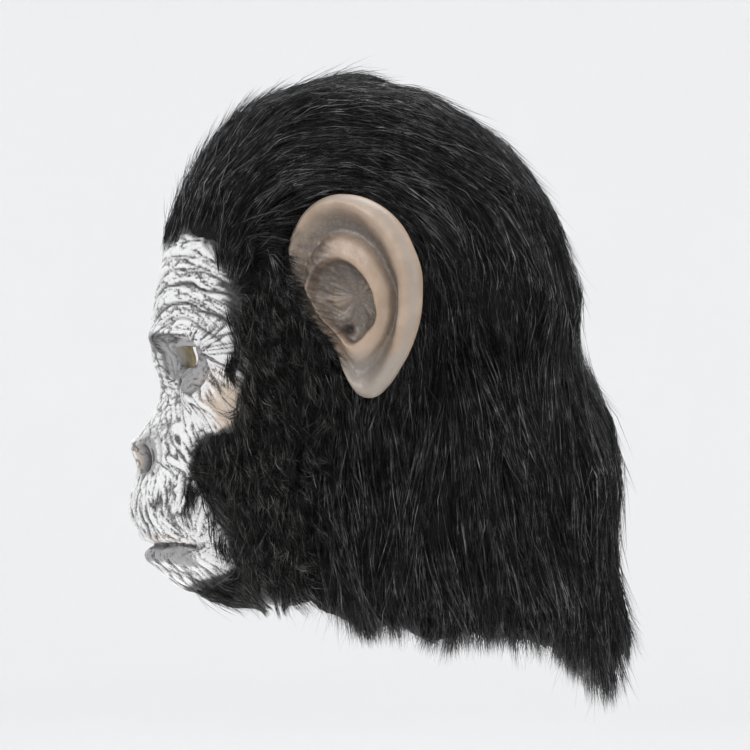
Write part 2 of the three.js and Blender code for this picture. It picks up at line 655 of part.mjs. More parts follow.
const crownRegion = () =>
  sideRegion([
    new THREE.Vector2(-far, seam.top.y),
    new THREE.Vector2(-far, seam.forehead.y + FIT_GAP),
    above(seam.forehead),
    above(seam.temple),
    above(seam.earTop),
    above(before(seam.behindEar)),
    before(seam.crown),
    before(seam.top),
  ]);
const maneRegion = () =>
  sideRegion([
    seam.top,
    seam.crown,
    seam.behindEar,
    seam.earTop,
    seam.underEar,
    seam.jaw,
    seam.jawBottom,
    new THREE.Vector2(far, seam.jawBottom.y),
    new THREE.Vector2(far, seam.top.y),
  ]);
const cheekRegion = (side) =>
  sideRegion(
    [
      seam.forehead,
      new THREE.Vector2(seam.chin.x, seam.chin.y + FIT_GAP),
      above(before(seam.jaw)),
      before(seam.underEar),
      before(seam.earTop),
      seam.temple,
    ],
    side > 0 ? 0 : -THROUGH / 2,
    THROUGH / 2,
  );
const beardRegion = () =>
  sideRegion([
    seam.chin,
    new THREE.Vector2(seam.chin.x, seam.jawBottom.y),
    before(seam.jawBottom),
    before(seam.jaw),
  ]);

// Offcuts of a cut fall away, and the piece that is kept is the largest.
const mainPiece = (solid) => solid.decompose().sort((a, b) => b.volume() - a.volume())[0];

function meshFromSolid(name, solid, material) {
  const { vertProperties, triVerts } = solid.getMesh();
  const geometry = new THREE.BufferGeometry();
  geometry.setAttribute('position', new THREE.BufferAttribute(Float32Array.from(vertProperties), 3));
  geometry.setIndex(Array.from(triVerts));
  geometry.computeVertexNormals();
  const mesh = new THREE.Mesh(geometry, material);
  mesh.name = name;
  return mesh;
}

const faceLatex = new THREE.MeshStandardMaterial({ color: 0xb9b4ad, roughness: 0.6, metalness: 0 });
const earLatex = new THREE.MeshStandardMaterial({ color: 0xb79a86, roughness: 0.55, metalness: 0 });
const longFur = new THREE.MeshStandardMaterial({ color: 0x121214, roughness: 0.5, metalness: 0 });
const shortFur = new THREE.MeshStandardMaterial({ color: 0x17171a, roughness: 0.6, metalness: 0 });

// Rings of locks: count locks over a span of turns in degrees, starting at a row of the fur's form.
// length is a share of the lock's length, with deeper more at the nape, and size a share of its width.
const LOCK_RINGS = [
  { count: 4, from: 62, to: 298, row: 2.0, length: 1.06, deeper: 0, lean: 2, size: 1.0 },
  { count: 7, from: 108, to: 252, row: 6.2, length: 1.12, deeper: 0, lean: 3, size: 1.1 },
  { count: 17, from: 84, to: 276, row: 10.6, length: 0.76, deeper: 0.6, lean: 0, size: 1.1 },
  { count: 2, from: 56, to: 66, row: 8.2, length: 0.99, deeper: 0, lean: 3, size: 0.8 },
  { count: 2, from: 294, to: 304, row: 8.2, length: 0.99, deeper: 0, lean: -3, size: 0.8 },
  { count: 5, from: -40, to: 40, row: 11.2, length: 0.63, deeper: 0, lean: 0, size: 0.7 },
];

// The locks wander a little along and round the fur, each by its number.
const WANDER = 0.5;
const RAGGED = 0.07;
function allLocks() {
  const rowHeight = FUR_HEIGHT / FUR_SECTIONS.length;
  return LOCK_RINGS.flatMap((ring, place) =>
    Array.from({ length: ring.count }, (unused, number) => {
      const turn = mix(ring.from, ring.to, number / (ring.count - 1)) * RADIANS;
      const wander = Math.sin(number * 2.4 + place) * WANDER;
      const ragged = 1 + RAGGED * Math.sin(number * 4.1 + place * 1.7);
      const length = (ring.length + (ring.deeper * (1 - Math.cos(turn))) / 2) * LOCK_LENGTH * ragged;
      const lean = ring.lean * RADIANS * wander;
      return furLock(turn, ring.row + wander * WANDER, length / rowHeight, lean, ring.size);
    }),
  );
}

const group = new THREE.Group();

const shell = headForm(0)
  .subtract(headHollow())
  .subtract(eyeCutter(1))
  .subtract(eyeCutter(-1));
group.add(meshFromSolid('latex_shell', mainPiece(shell), faceLatex));

const clearHead = headForm(FIT_GAP);
const earNames = { 1: 'left_ear', '-1': 'right_ear' };
for (const side of [1, -1]) {
  const ear = earPlate(side).add(earRoot(side, 0)).subtract(clearHead).subtract(canalCutter(side));
  group.add(meshFromSolid(earNames[side], mainPiece(ear), earLatex));
}

let fur = furForm();
for (const lock of allLocks()) fur = fur.add(lock);
fur = fur.subtract(clearHead).subtract(neckSpace()).subtract(faceRegion());
for (const side of [1, -1]) {
  fur = fur.subtract(earRoom(side)).subtract(earRoot(side, FIT_GAP));
}

const panels = [
  { name: 'crown_fur', region: crownRegion(), material: longFur },
  { name: 'mane_fur', region: maneRegion(), material: longFur },
  { name: 'left_cheek_fur', region: cheekRegion(1), material: shortFur },
  { name: 'right_cheek_fur', region: cheekRegion(-1), material: shortFur },
  { name: 'beard_fur', region: beardRegion(), material: shortFur },
];
for (const panel of panels) {
  group.add(meshFromSolid(panel.name, mainPiece(fur.intersect(panel.region)), panel.material));
}

export default group;
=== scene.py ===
# %% [markdown]
# # A pull-over ape mask
# The real object is a hollow latex casting of an ape's head with two cast ears glued to its sides and
# panels of long black fake fur over the crown, nape, cheeks and jaw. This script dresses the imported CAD
# model: the model fixes every size and place, and each soft CAD solid is replaced by a detailed piece.

# %% Load the frame
import math
import json

import bpy
import numpy as np
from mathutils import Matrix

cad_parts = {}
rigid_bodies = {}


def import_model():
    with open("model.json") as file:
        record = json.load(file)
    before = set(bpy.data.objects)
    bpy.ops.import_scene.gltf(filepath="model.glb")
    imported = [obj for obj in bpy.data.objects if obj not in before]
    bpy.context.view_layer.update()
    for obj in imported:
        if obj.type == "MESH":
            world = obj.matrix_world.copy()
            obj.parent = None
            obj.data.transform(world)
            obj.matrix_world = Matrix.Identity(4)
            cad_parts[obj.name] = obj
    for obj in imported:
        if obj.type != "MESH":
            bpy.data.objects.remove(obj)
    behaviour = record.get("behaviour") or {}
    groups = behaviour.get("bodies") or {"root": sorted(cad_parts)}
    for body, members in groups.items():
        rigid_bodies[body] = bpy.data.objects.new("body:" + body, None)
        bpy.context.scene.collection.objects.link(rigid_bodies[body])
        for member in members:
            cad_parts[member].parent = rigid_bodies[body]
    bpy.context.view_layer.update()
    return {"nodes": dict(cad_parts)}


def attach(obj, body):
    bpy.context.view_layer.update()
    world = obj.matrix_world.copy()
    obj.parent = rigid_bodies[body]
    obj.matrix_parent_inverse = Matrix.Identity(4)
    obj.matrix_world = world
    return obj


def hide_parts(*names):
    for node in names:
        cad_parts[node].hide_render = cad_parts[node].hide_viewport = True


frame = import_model()
MM = 0.001
print("CAD nodes:", ", ".join(sorted(frame["nodes"])))

# %% [markdown]
# ## Camera
# The photograph is a plain side view from far away with a long lens, which keeps the ear and the face
# at nearly one scale. The camera stands 2.4 m off, level with the eyes and a very little above.

# %% Camera
AZIMUTH = math.radians(89.5)
ELEVATION = math.radians(0.8)
DISTANCE = 2.4
FIELD = 0.450
AIM = (0.0, 0.006, -0.155)

lens = bpy.data.cameras.new("photo_camera")
lens.sensor_width = 36
lens.lens = 36 * DISTANCE / FIELD
camera = bpy.data.objects.new("photo_camera", lens)
bpy.context.scene.collection.objects.link(camera)
away = (
    math.sin(AZIMUTH) * math.cos(ELEVATION),
    -math.cos(AZIMUTH) * math.cos(ELEVATION),
    math.sin(ELEVATION),
)
camera.location = [a + DISTANCE * b for a, b in zip(AIM, away)]
camera.rotation_euler = (math.pi / 2 - ELEVATION, 0, AZIMUTH)
bpy.context.scene.camera = camera
bpy.context.scene.view_settings.view_transform = "Standard"
print("Camera lens:", round(lens.lens), "mm")

# %% [markdown]
# ## Tables and curves
# The head is described by short tables: at each level, how far it reaches to the front, back and sides.
# A Catmull-Rom curve through a table's column gives a smooth value at any place, and numpy reads it for
# a whole array of places at once. The tables of the head and the fur are the CAD part's own, so both
# shapes agree.

# %% Table reader
def smoothstep(value, low, high):
    """0 below low, 1 above high, and 3t^2 - 2t^3 of the share t between them."""
    share = np.clip((value - low) / (high - low), 0, 1)
    return share * share * (3 - 2 * share)


def bell(distance, width):
    """A bump: e to the minus square of distance over width."""
    return np.exp(-((distance / width) ** 2))


def read_table(table, key, column, place):
    """A cubic through the table's points. The slope at a point is that of the line joining its two
    neighbours, and each span mixes its end values and slopes with the four Hermite weights."""
    knots, values = table[key], table[column]
    last = len(knots) - 1
    i = np.clip(np.searchsorted(knots, place, side="left") - 1, 0, last - 1)
    before, after = np.maximum(i - 1, 0), np.minimum(i + 2, last)
    span = knots[i + 1] - knots[i]
    t = np.clip((place - knots[i]) / span, 0, 1)
    slope_in = span * (values[i + 1] - values[before]) / (knots[i + 1] - knots[before])
    slope_out = span * (values[after] - values[i]) / (knots[after] - knots[i])
    return (
        (2 * t**3 - 3 * t**2 + 1) * values[i]
        + (t**3 - 2 * t**2 + t) * slope_in
        + (3 * t**2 - 2 * t**3) * values[i + 1]
        + (t**3 - t**2) * slope_out
    )


def make_table(columns, rows):
    """A dictionary of columns from rows of numbers, with the row number as one more column."""
    table = {name: column for name, column in zip(columns.split(), np.array(rows, float).T)}
    table["row"] = np.arange(len(rows), dtype=float)
    return table


# %% Tables of the head and the fur
WALL = 2.5
HEAD_HEIGHT, FRONT_REACH, BACK_REACH, HALF_WIDTH = 296, 106, 103, 94
EAR_LINE, RIM_RISE = -14, 28
MUZZLE_REACH, MUZZLE_HALF_WIDTH = 37, 57
EYE_SPACING, EYE_LEVEL, EYE_LENGTH, EYE_HEIGHT = 70, 147, 31, 12
EYE_SLANT = math.radians(25)
EYE_OUT = 2.5

HEAD = make_table("level front back side", [
    (0.005, 0.27, 0.31, 0.34), (0.027, 0.42, 0.52, 0.53), (0.068, 0.62, 0.72, 0.72),
    (0.135, 0.80, 0.87, 0.87), (0.203, 0.91, 0.96, 0.96), (0.270, 0.965, 1.00, 0.99),
    (0.372, 1.00, 0.99, 1.00), (0.473, 0.965, 0.91, 0.98), (0.574, 0.925, 0.81, 0.94),
    (0.676, 0.885, 0.73, 0.88), (0.777, 0.86, 0.68, 0.82), (0.861, 0.81, 0.66, 0.765),
    (0.919, 0.74, 0.66, 0.735), (0.953, 0.68, 0.67, 0.715), (0.976, 0.585, 0.68, 0.705),
    (0.988, 0.45, 0.69, 0.70), (1.000, 0.34, 0.70, 0.70),
])
RIDGE = make_table("level reach spread", [
    (0.200, 0.00, 1.00), (0.250, 0.08, 1.00), (0.350, 0.13, 1.00), (0.412, 0.22, 0.98),
    (0.463, 0.31, 0.92), (0.505, 0.33, 0.55), (0.544, 0.27, 0.30), (0.585, 0.33, 0.36),
    (0.618, 0.48, 0.60), (0.645, 0.64, 0.76), (0.676, 0.78, 0.86), (0.730, 0.82, 0.96),
    (0.787, 0.97, 1.00), (0.820, 1.00, 1.00), (0.850, 0.94, 0.96), (0.880, 0.90, 0.90),
    (0.910, 0.92, 0.84), (0.946, 0.80, 0.74), (0.966, 0.70, 0.70), (0.988, 0.30, 0.70),
    (1.000, 0.00, 0.70),
])
# Side, flat and width are shares of half the eye spacing, level and height of the head's height, and
# relief is a share of the muzzle's reach. soft is how broad the inside follows it.
FACE_FORMS = {
    "socket": (1.0, 0, 0.48, 0.507, 0.027, -0.216, 1.45),
    "brow": (0.9, 0, 0.62, 0.456, 0.024, 0.162, 0),
    "cheek": (1.25, 0, 0.5, 0.574, 0.04, 0.108, 0),
    "nostril": (0.37, 0, 0.125, 0.7, 0.022, -0.243, 2),
    "wing": (0.445, 0, 0.205, 0.689, 0.037, 0.135, 0),
    "tip": (0, 0, 0.22, 0.676, 0.027, 0.108, 0),
    "mouth": (0, 0.95, 0.18, 0.875, 0.009, -0.108, 2.2),
    "lower lip": (0, 0.9, 0.2, 0.902, 0.017, 0.068, 0),
}
HAIRLINE = make_table("ahead level", [
    (0.98, 0.245), (0.80, 0.262), (0.70, 0.315), (0.65, 0.395), (0.62, 0.470), (0.585, 0.545),
    (0.635, 0.625), (0.83, 0.655), (0.87, 0.700), (0.80, 0.765), (0.70, 0.835), (0.625, 0.890),
    (0.66, 0.922), (0.82, 0.942), (0.98, 0.970),
])

# %% [markdown]
# ## The head's skin
# The casting is one surface of two parameters: the turn round the head and the level down it. The
# relief of brow, sockets, nose and lips is added to its reach, so it stays a clean grid of points.

# %% Head skin
FINE_ROWS = np.linspace(0, HEAD["row"][-1], 4000)
FINE_LEVELS = read_table(HEAD, "row", "level", FINE_ROWS)
SOFT_DEPTH = 1.3


def face_relief(x, down, soft):
    """The ridge, its reach times (1 - (x/spread)^2)^1.5, plus a bell for each bump or dent."""
    level = down / HEAD_HEIGHT
    spread = read_table(RIDGE, "level", "spread", level)
    fall = np.maximum(1 - (x / (spread * MUZZLE_HALF_WIDTH)) ** 2, 0) ** 1.5
    kept = smoothstep(spread, 0.25, 0.85) if soft else 1
    total = read_table(RIDGE, "level", "reach", level) * MUZZLE_REACH * fall * kept
    eye = EYE_SPACING / 2
    for side, flat, width, middle, height, relief, follows in FACE_FORMS.values():
        spread = follows if soft else 1
        if spread:
            beside = np.maximum(np.abs(np.abs(x) - side * eye) - flat * eye, 0)
            share = bell(beside, width * eye * spread)
            share = share * bell(down - middle * HEAD_HEIGHT, height * HEAD_HEIGHT * spread)
            total = total + relief * MUZZLE_REACH * share * (SOFT_DEPTH if soft else 1)
    return total


def head_skin(turn, level, soft=False):
    """x is the side reach times sin(turn) and y the front or back reach times cos(turn), plus the
    face's relief. The rim rises behind."""
    row = np.interp(level, FINE_LEVELS, FINE_ROWS)
    ahead = np.cos(turn)
    front = read_table(HEAD, "row", "front", row) * FRONT_REACH
    back = read_table(HEAD, "row", "back", row) * BACK_REACH
    x = read_table(HEAD, "row", "side", row) * HALF_WIDTH * np.sin(turn)
    down = level * HEAD_HEIGHT
    relief = face_relief(x, down, soft) * smoothstep(ahead, 0.05, 0.5)
    rise = RIM_RISE * smoothstep(level, 0.55, 1) * (1 - ahead) / 2
    y = EAR_LINE - np.where(ahead > 0, front, back) * ahead - relief
    return np.stack([x, y, WALL - down + rise], -1)


# %% [markdown]
# ## Random wrinkles that can be repeated
# Cast wrinkles are long in one direction and narrow in the other, and never regular. Noise on a lattice
# gives this: each lattice corner holds a random slope made from its whole-number place, so the same
# place always gives the same value.

# %% Lattice noise
CORNERS = np.array([(a, b, c) for a in (0, 1) for b in (0, 1) for c in (0, 1)])


def scramble(cells, seed):
    """Whole-number cells to repeatable numbers from 0 to 1: products with large primes, mixed by
    shifts and exclusive or."""
    mixed = cells[..., 0] * 73856093 ^ cells[..., 1] * 19349663 ^ cells[..., 2] * 83492791
    mixed = (mixed ^ (seed * 40503 + 977)) & 0xFFFFFFFF
    mixed = ((mixed ^ (mixed >> 15)) * 2246822519) & 0xFFFFFFFF
    mixed = ((mixed ^ (mixed >> 13)) * 3266489917) & 0xFFFFFFFF
    return ((mixed ^ (mixed >> 16)) & 0xFFFFFF) / 0x1000000


def noise(points, size, seed=0):
    """Slope noise, about -1 to 1: the sum over a cell's corners of slope times offset, each faded by
    6t^5 - 15t^4 + 10t^3."""
    place = points / size
    base = np.floor(place).astype(np.int64)
    offset = place - base
    fade = offset**3 * (offset * (offset * 6 - 15) + 10)
    total = np.zeros(points.shape[:-1])
    for corner in CORNERS:
        slope = np.stack([scramble(base + corner, seed * 3 + k) for k in range(3)], -1) * 2 - 1
        weight = np.prod(np.where(corner == 1, fade, 1 - fade), -1)
        total += weight * np.sum(slope * (offset - corner), -1)
    return np.clip(total * 1.7, -1, 1)


def wrinkle(across, along, width, length, seed):
    """Rounded ridges with narrow creases between them, 0 in a crease and 1 on a ridge. The creases
    are where noise that is stretched along the wrinkle passes through zero."""
    place = np.stack([across / width, along / length, np.full(across.shape, seed * 1.37)], -1)
    sway = noise(place * 0.7, 1, seed + 50)
    place = place + np.stack([0.45 * sway, 0.3 * sway, 0 * sway], -1)
    broad = np.abs(noise(place, 1, seed))
    fine = np.abs(noise(place * np.array([1.9, 1.5, 1]), 1, seed + 9))
    return np.clip(broad / 0.40, 0, 1) ** 0.8 * (0.6 + 0.4 * np.clip(fine / 0.3, 0, 1))


# %% [markdown]
# ## The grid of the casting
# Columns run down the face about every half degree, with wide ones round the back, where fur hides
# them. A block of cells is left out at each eye, and the grid round it is bent so that the block's edge
# lies on the almond outline of the eye hole. The wall's inside uses every second column and row.

# %% Grid with eye holes
FACE_EDGE = 66
FACE_STEP = 0.55
BACK_COLUMNS = 28
TOP_LEVEL, CROWN_LEVEL, BROW_LEVEL = 0.006, 0.2, 0.43
CROWN_ROWS, FOREHEAD_ROWS, FACE_ROWS = 14, 62, 195
turns = np.concatenate([
    np.arange(-FACE_EDGE, FACE_EDGE, FACE_STEP),
    np.linspace(FACE_EDGE, 360 - FACE_EDGE, BACK_COLUMNS, endpoint=False),
]) * math.pi / 180
levels = np.concatenate([
    np.linspace(TOP_LEVEL, CROWN_LEVEL, CROWN_ROWS, endpoint=False),
    np.linspace(CROWN_LEVEL, BROW_LEVEL, FOREHEAD_ROWS, endpoint=False),
    np.linspace(BROW_LEVEL, 1.0, FACE_ROWS),
])
turn_grid, level_grid = np.meshgrid(turns, levels, indexing="ij")
WIDTH_AT_EYES = HALF_WIDTH * 0.972
eye_turn = math.asin((EYE_SPACING / 2 + EYE_OUT) / WIDTH_AT_EYES)
eye_level = EYE_LEVEL / HEAD_HEIGHT
eye_scale = WIDTH_AT_EYES * math.cos(eye_turn)
BLOCK_X, BLOCK_Z = 12.5, 5.2
BEND_REACH, FAR_RING = 3.4, 99.0
RING_GROWTH, ALMOND_POINT = 0.55, 0.7


def even_near(values, wanted):
    """The even place in values that is nearest to wanted."""
    return int(2 * np.argmin(np.abs(values[::2] - wanted)))


def eye_block(side):
    """Grid places of the block's edges: first and last column, first and last row."""
    span = BLOCK_X / eye_scale
    columns = [even_near(turns, side * eye_turn - span), even_near(turns, side * eye_turn + span)]
    rise = BLOCK_Z / HEAD_HEIGHT
    rows = [even_near(levels, eye_level - rise), even_near(levels, eye_level + rise)]
    return columns, rows


def bend_to_almond(turn, level, side):
    """Rings of the block, by the larger of the two shares p and q of its half sizes, go over to rings
    round the almond (cos a, sin a |sin a|^0.7), and back to straight grid lines at 3.4 times its size.
    Gives also the ring number, for lids, and the angle."""
    (first, last), (top, bottom) = eye_block(side)
    middle_turn, half_turn = (turns[first] + turns[last]) / 2, (turns[last] - turns[first]) / 2
    middle_level, half_level = (levels[top] + levels[bottom]) / 2, (levels[bottom] - levels[top]) / 2
    p = (turn - middle_turn) / half_turn
    q = -(level - middle_level) / half_level
    ring = np.maximum(np.abs(p), np.abs(q))
    angle = np.arctan2(q, p)
    grown = 1 + RING_GROWTH * (np.maximum(ring, 1) - 1)
    almond_x = EYE_LENGTH / 2 * np.cos(angle) * grown
    almond_z = EYE_HEIGHT / 2 * np.sin(angle) * np.abs(np.sin(angle)) ** ALMOND_POINT
    almond_z = almond_z * (0.1 + 0.9 * grown)
    almond_z = almond_z + 5.5 * (grown - 1) * np.sin(angle)
    slant = side * EYE_SLANT
    leaned_x = almond_x * math.cos(slant) - almond_z * math.sin(slant)
    leaned_z = almond_x * math.sin(slant) + almond_z * math.cos(slant)
    straight = smoothstep(ring, 1, BEND_REACH)
    new_turn = side * eye_turn + leaned_x / eye_scale
    new_level = eye_level - leaned_z / HEAD_HEIGHT
    turn = new_turn + (turn - new_turn) * straight
    level = new_level + (level - new_level) * straight
    return turn, level, ring, angle


ring_grid = np.full(turn_grid.shape, FAR_RING)
angle_grid = np.zeros(turn_grid.shape)
for side in (1, -1):
    bent_turn, bent_level, ring, angle = bend_to_almond(turn_grid, level_grid, side)
    near = ring < BEND_REACH
    turn_grid = np.where(near, bent_turn, turn_grid)
    level_grid = np.where(near, bent_level, level_grid)
    ring_grid = np.where(near, ring, ring_grid)
    angle_grid = np.where(near, angle, angle_grid)
print("Grid of the casting:", turn_grid.shape)


def grid_normals(points):
    """Outward direction at each grid point: the cross product of its two neighbour differences. The
    columns close on themselves."""
    across = np.roll(points, -1, 0) - np.roll(points, 1, 0)
    down = np.gradient(points, axis=1)
    normal = np.cross(down, across)
    return normal / np.maximum(np.linalg.norm(normal, axis=-1, keepdims=True), 1e-9)


# %% [markdown]
# ## Wrinkles of the face
# Each part of the face has its own direction of wrinkle: arcs over the brow, rays beside the eye, fine
# arcs under it, upright grooves on the upper lip and a fan at the corner of the mouth. Each is the same
# noise in its own coordinates, and soft weights join them. X is the distance from the middle, Z the
# height and S the way round the face. The right side reads the noise a little further on, so that the
# two sides aren't mirror images.

# %% Wrinkle fields
smooth_skin = head_skin(turn_grid, level_grid)
skin_normal = grid_normals(smooth_skin)
X = np.abs(smooth_skin[..., 0])
Z = smooth_skin[..., 2]
step = np.linalg.norm(np.diff(smooth_skin, axis=0, prepend=smooth_skin[-1:]), axis=-1)
middle_column = int(np.argmin(np.abs(turns)))
arc = np.cumsum(step, axis=0)
FACE_ARC = 140
SIDE_SHIFT, SIDE_BLEND = 9, 8
side_shift = SIDE_SHIFT * smoothstep(-smooth_skin[..., 0], -SIDE_BLEND, SIDE_BLEND)
S = np.minimum(np.abs(arc - arc[middle_column]), FACE_ARC) + side_shift


def about(centre_x, centre_z):
    """Distance and angle of each point from a centre on the face."""
    dx, dz = X - centre_x, Z - centre_z
    return np.hypot(dx, dz), np.arctan2(dz, dx)


def patch(centre_x, centre_z, half_x, half_z, soft=0.35):
    """1 inside an ellipse on the face, fading to 0 round its edge."""
    far = np.hypot((X - centre_x) / half_x, (Z - centre_z) / half_z)
    return 1 - smoothstep(far, 1 - soft, 1 + soft)


BROW_CENTRE = (45, -147)
OUTER_CORNER = (50, -141)
MOUTH_CORNER = (35, -256)
eye_far, eye_angle = about(*BROW_CENTRE)
outer_far, outer_angle = about(*OUTER_CORNER)
corner_far, corner_angle = about(*MOUTH_CORNER)
forehead = smoothstep(Z, -131, -121)
crow = patch(66, -146, 17, 26)
cheek = patch(34, -192, 32, 24)
bridge = patch(0, -150, 14, 22)
nose = patch(0, -187, 25, 22)
lip = smoothstep(-Z, 208, 216) * smoothstep(Z, -258, -254)
fan = patch(46, -256, 20, 26)
lower = patch(0, -264, 34, 8)
chin = smoothstep(-Z, 268, 275)

eye_x = X - EYE_SPACING / 2 - EYE_OUT
eye_z = Z - WALL + EYE_LEVEL
along_eye = eye_x * math.cos(EYE_SLANT) + eye_z * math.sin(EYE_SLANT)
over_eye = eye_z * math.cos(EYE_SLANT) - eye_x * math.sin(EYE_SLANT)
bag_far = np.hypot(along_eye / 16.5, (over_eye + 3) / 19)
bag = (1 - smoothstep(bag_far, 0.92, 1.04)) * smoothstep(-over_eye, -2, 3)
lid_far = np.hypot((along_eye + 5) / 21, over_eye / 12.5)
lid_zone = (1 - smoothstep(lid_far, 0.85, 1.1)) * smoothstep(over_eye, -4, 1)

arcs = wrinkle(eye_far, eye_angle * 60 + side_shift, 2.5, 18, 1)
cross = wrinkle(eye_angle * 55 + 0.4 * eye_far, eye_far + side_shift, 2.6, 7, 11)
# Weight over the face, wrinkles and how deep they are.
fields = [
    (forehead, 0.76 * arcs + 0.24 * cross, 1.1),
    (crow, wrinkle(outer_angle * 24, outer_far + side_shift, 2.7, 17, 2), 1.0),
    (bag * 3, wrinkle(over_eye + 0.03 * along_eye**2, along_eye, 2.6, 14, 3), 1.1),
    (lid_zone * 2, wrinkle(over_eye + 0.02 * along_eye**2, along_eye, 3.0, 18, 13), 1.1),
    (cheek, wrinkle(S * 0.62 + Z * 0.78, S * 0.78 - Z * 0.62, 2.8, 15, 4), 0.9),
    (bridge, wrinkle(Z, S, 3.2, 6, 5), 0.6),
    (nose, wrinkle(S, Z, 3.0, 4.4, 6), 0.55),
    (lip, wrinkle(S + 0.12 * (Z + 230) * X / 35, Z, 2.0, 17, 7), 1.3),
    (fan * 2.5, wrinkle(corner_angle * 15, corner_far + side_shift, 2.2, 18, 8), 1.5),
    (lower * 2, wrinkle(S, Z, 2.5, 12, 9), 0.6),
    (chin, wrinkle(S, Z, 3.0, 7, 10), 0.8),
]
weight_sum = sum(field[0] for field in fields) + 0.02
crest = sum(weight * ridges for weight, ridges, deep in fields) / weight_sum
depth = sum(weight * deep for weight, ridges, deep in fields) / weight_sum
print("Wrinkle fields:", len(fields))

# %% Brow creases, lids, nostrils and mouth
sector = smoothstep(eye_angle, 0.2, 0.6) * (1 - smoothstep(eye_angle, 2.4, 2.9))
wobble = 2.5 * noise(smooth_skin, 22, 31)
CREASE_WIDTH = 0.85
CREASES = ((25, 0.8), (35, 1.2), (47, 1.2))  # radius and strength
crease = sum(
    deep * bell(eye_far - radius - wobble, CREASE_WIDTH) for radius, deep in CREASES
) * sector
upper = smoothstep(np.sin(angle_grid), -0.1, 0.3)
near_eye = ring_grid < BEND_REACH
lid_roll = bell(ring_grid - 1.15, 0.16) * 1.2 * near_eye
lid_crease = bell(ring_grid - 1.75, 0.15) * upper * near_eye
lid_edge = bell(lid_far - 1, 0.09) * smoothstep(over_eye, 0, 4) * smoothstep(8 - along_eye, -6, 4)
bag_edge = bell(bag_far - 1, 0.05) * smoothstep(-over_eye, -3, 2)
calm = 1 - 0.6 * (1 - smoothstep(ring_grid, 1.2, 1.8))
bags = 2.4 * bell(bag_far - 0.5, 0.4) * smoothstep(-over_eye, 2, 7)
bumps = 0.8 * noise(smooth_skin, 9, 33) + 1.0 * noise(smooth_skin, 21, 34)
shown = smoothstep(Z, -292, -284) * smoothstep(np.cos(turn_grid), 0.41, 0.5) * smoothstep(-Z, 55, 66)

NOSTRIL_HEIGHT, WING_HEIGHT, MOUTH_HEIGHT = -204, -203, -256.4
over_nostril = Z - NOSTRIL_HEIGHT
slit = bell(X - 13.5 - 0.1 * over_nostril, 2.6) * bell(np.maximum(np.abs(over_nostril) - 4, 0), 3.5)
pit = bell(np.hypot((X - 19) / 7, (Z - WING_HEIGHT) / 11), 1)
wing_far = np.hypot((X - 15.5) / 9.5, (Z - WING_HEIGHT) / 14)
wing = 1 - smoothstep(wing_far, 0.75, 1.0)
wing_edge = bell(wing_far - 1.04, 0.10) * smoothstep(Z, -219, -209) * smoothstep(X, 5, 10)
nose_rim = bell(X - 7, 2.2) * bell(Z + 205, 9)
mouth_height = MOUTH_HEIGHT + 1.2 * smoothstep(X, 14, 24) - 1.8 * smoothstep(X, 26, 36)
mouth_line = bell(Z - mouth_height, 1.5) * (1 - smoothstep(X, 33, 38))
lip_edge = bell(Z - mouth_height - 3.0, 2.2) * (1 - smoothstep(X, 32, 39))
lip_low = smoothstep(mouth_height - Z, 0.5, 2.5) * (1 - smoothstep(-Z, 266, 270))
lip_low = lip_low * (1 - smoothstep(X, 30, 36))
CREST_MIDDLE, WRINKLE_DEPTH = 0.55, 1.8
wrinkle_lift = (crest - CREST_MIDDLE) * WRINKLE_DEPTH * depth * calm * (1 - 0.8 * wing)
# Millimetres outwards, and where.
relief = [
    (-1.5, crease), (1.0, lid_roll), (-1.3, lid_crease), (-1.5, lid_edge), (-1.6, bag_edge),
    (1.0, bags), (0.5, bumps), (-3.8, slit), (-5.0, pit), (1.2, nose_rim), (-1.4, wing_edge),
    (-2.0, mouth_line), (0.7, lip_edge),
]
lift = (wrinkle_lift + sum(height * place for height, place in relief)) * shown
outer = smooth_skin + skin_normal * lift[..., None]
print("Relief from", round(float(lift.min()), 1), "to", round(float(lift.max()), 1), "mm")

# %% [markdown]
# ## Paint
# Such masks are cast in tinted latex and then dry-brushed with white: the brush only touches the ridges.
# Low between the wrinkles the colour goes to near black, which is painted shade. The paint is therefore
# a set of numbers kept on the mesh: how high a point stands between the creases, how much white was
# brushed there, and where it stays grey or beige.

# %% Paint numbers
FOREHEAD_TOP, MIDDLE_DIP = 0.262, 0.04


def hair_depth(points):
    """Distance in millimetres behind the hairline, seen from the side; below 0 on the bare face."""
    ahead = (EAR_LINE - points[..., 1]) / FRONT_REACH
    level = np.clip((WALL - points[..., 2]) / HEAD_HEIGHT, 0, 1)
    within = np.clip(level, HAIRLINE["level"][0], HAIRLINE["level"][-1])
    behind = (read_table(HAIRLINE, "level", "ahead", within) - ahead) * FRONT_REACH
    above = (FOREHEAD_TOP + MIDDLE_DIP * smoothstep(ahead, 0.85, 1.1) - level) * HEAD_HEIGHT
    return np.maximum(behind, above)


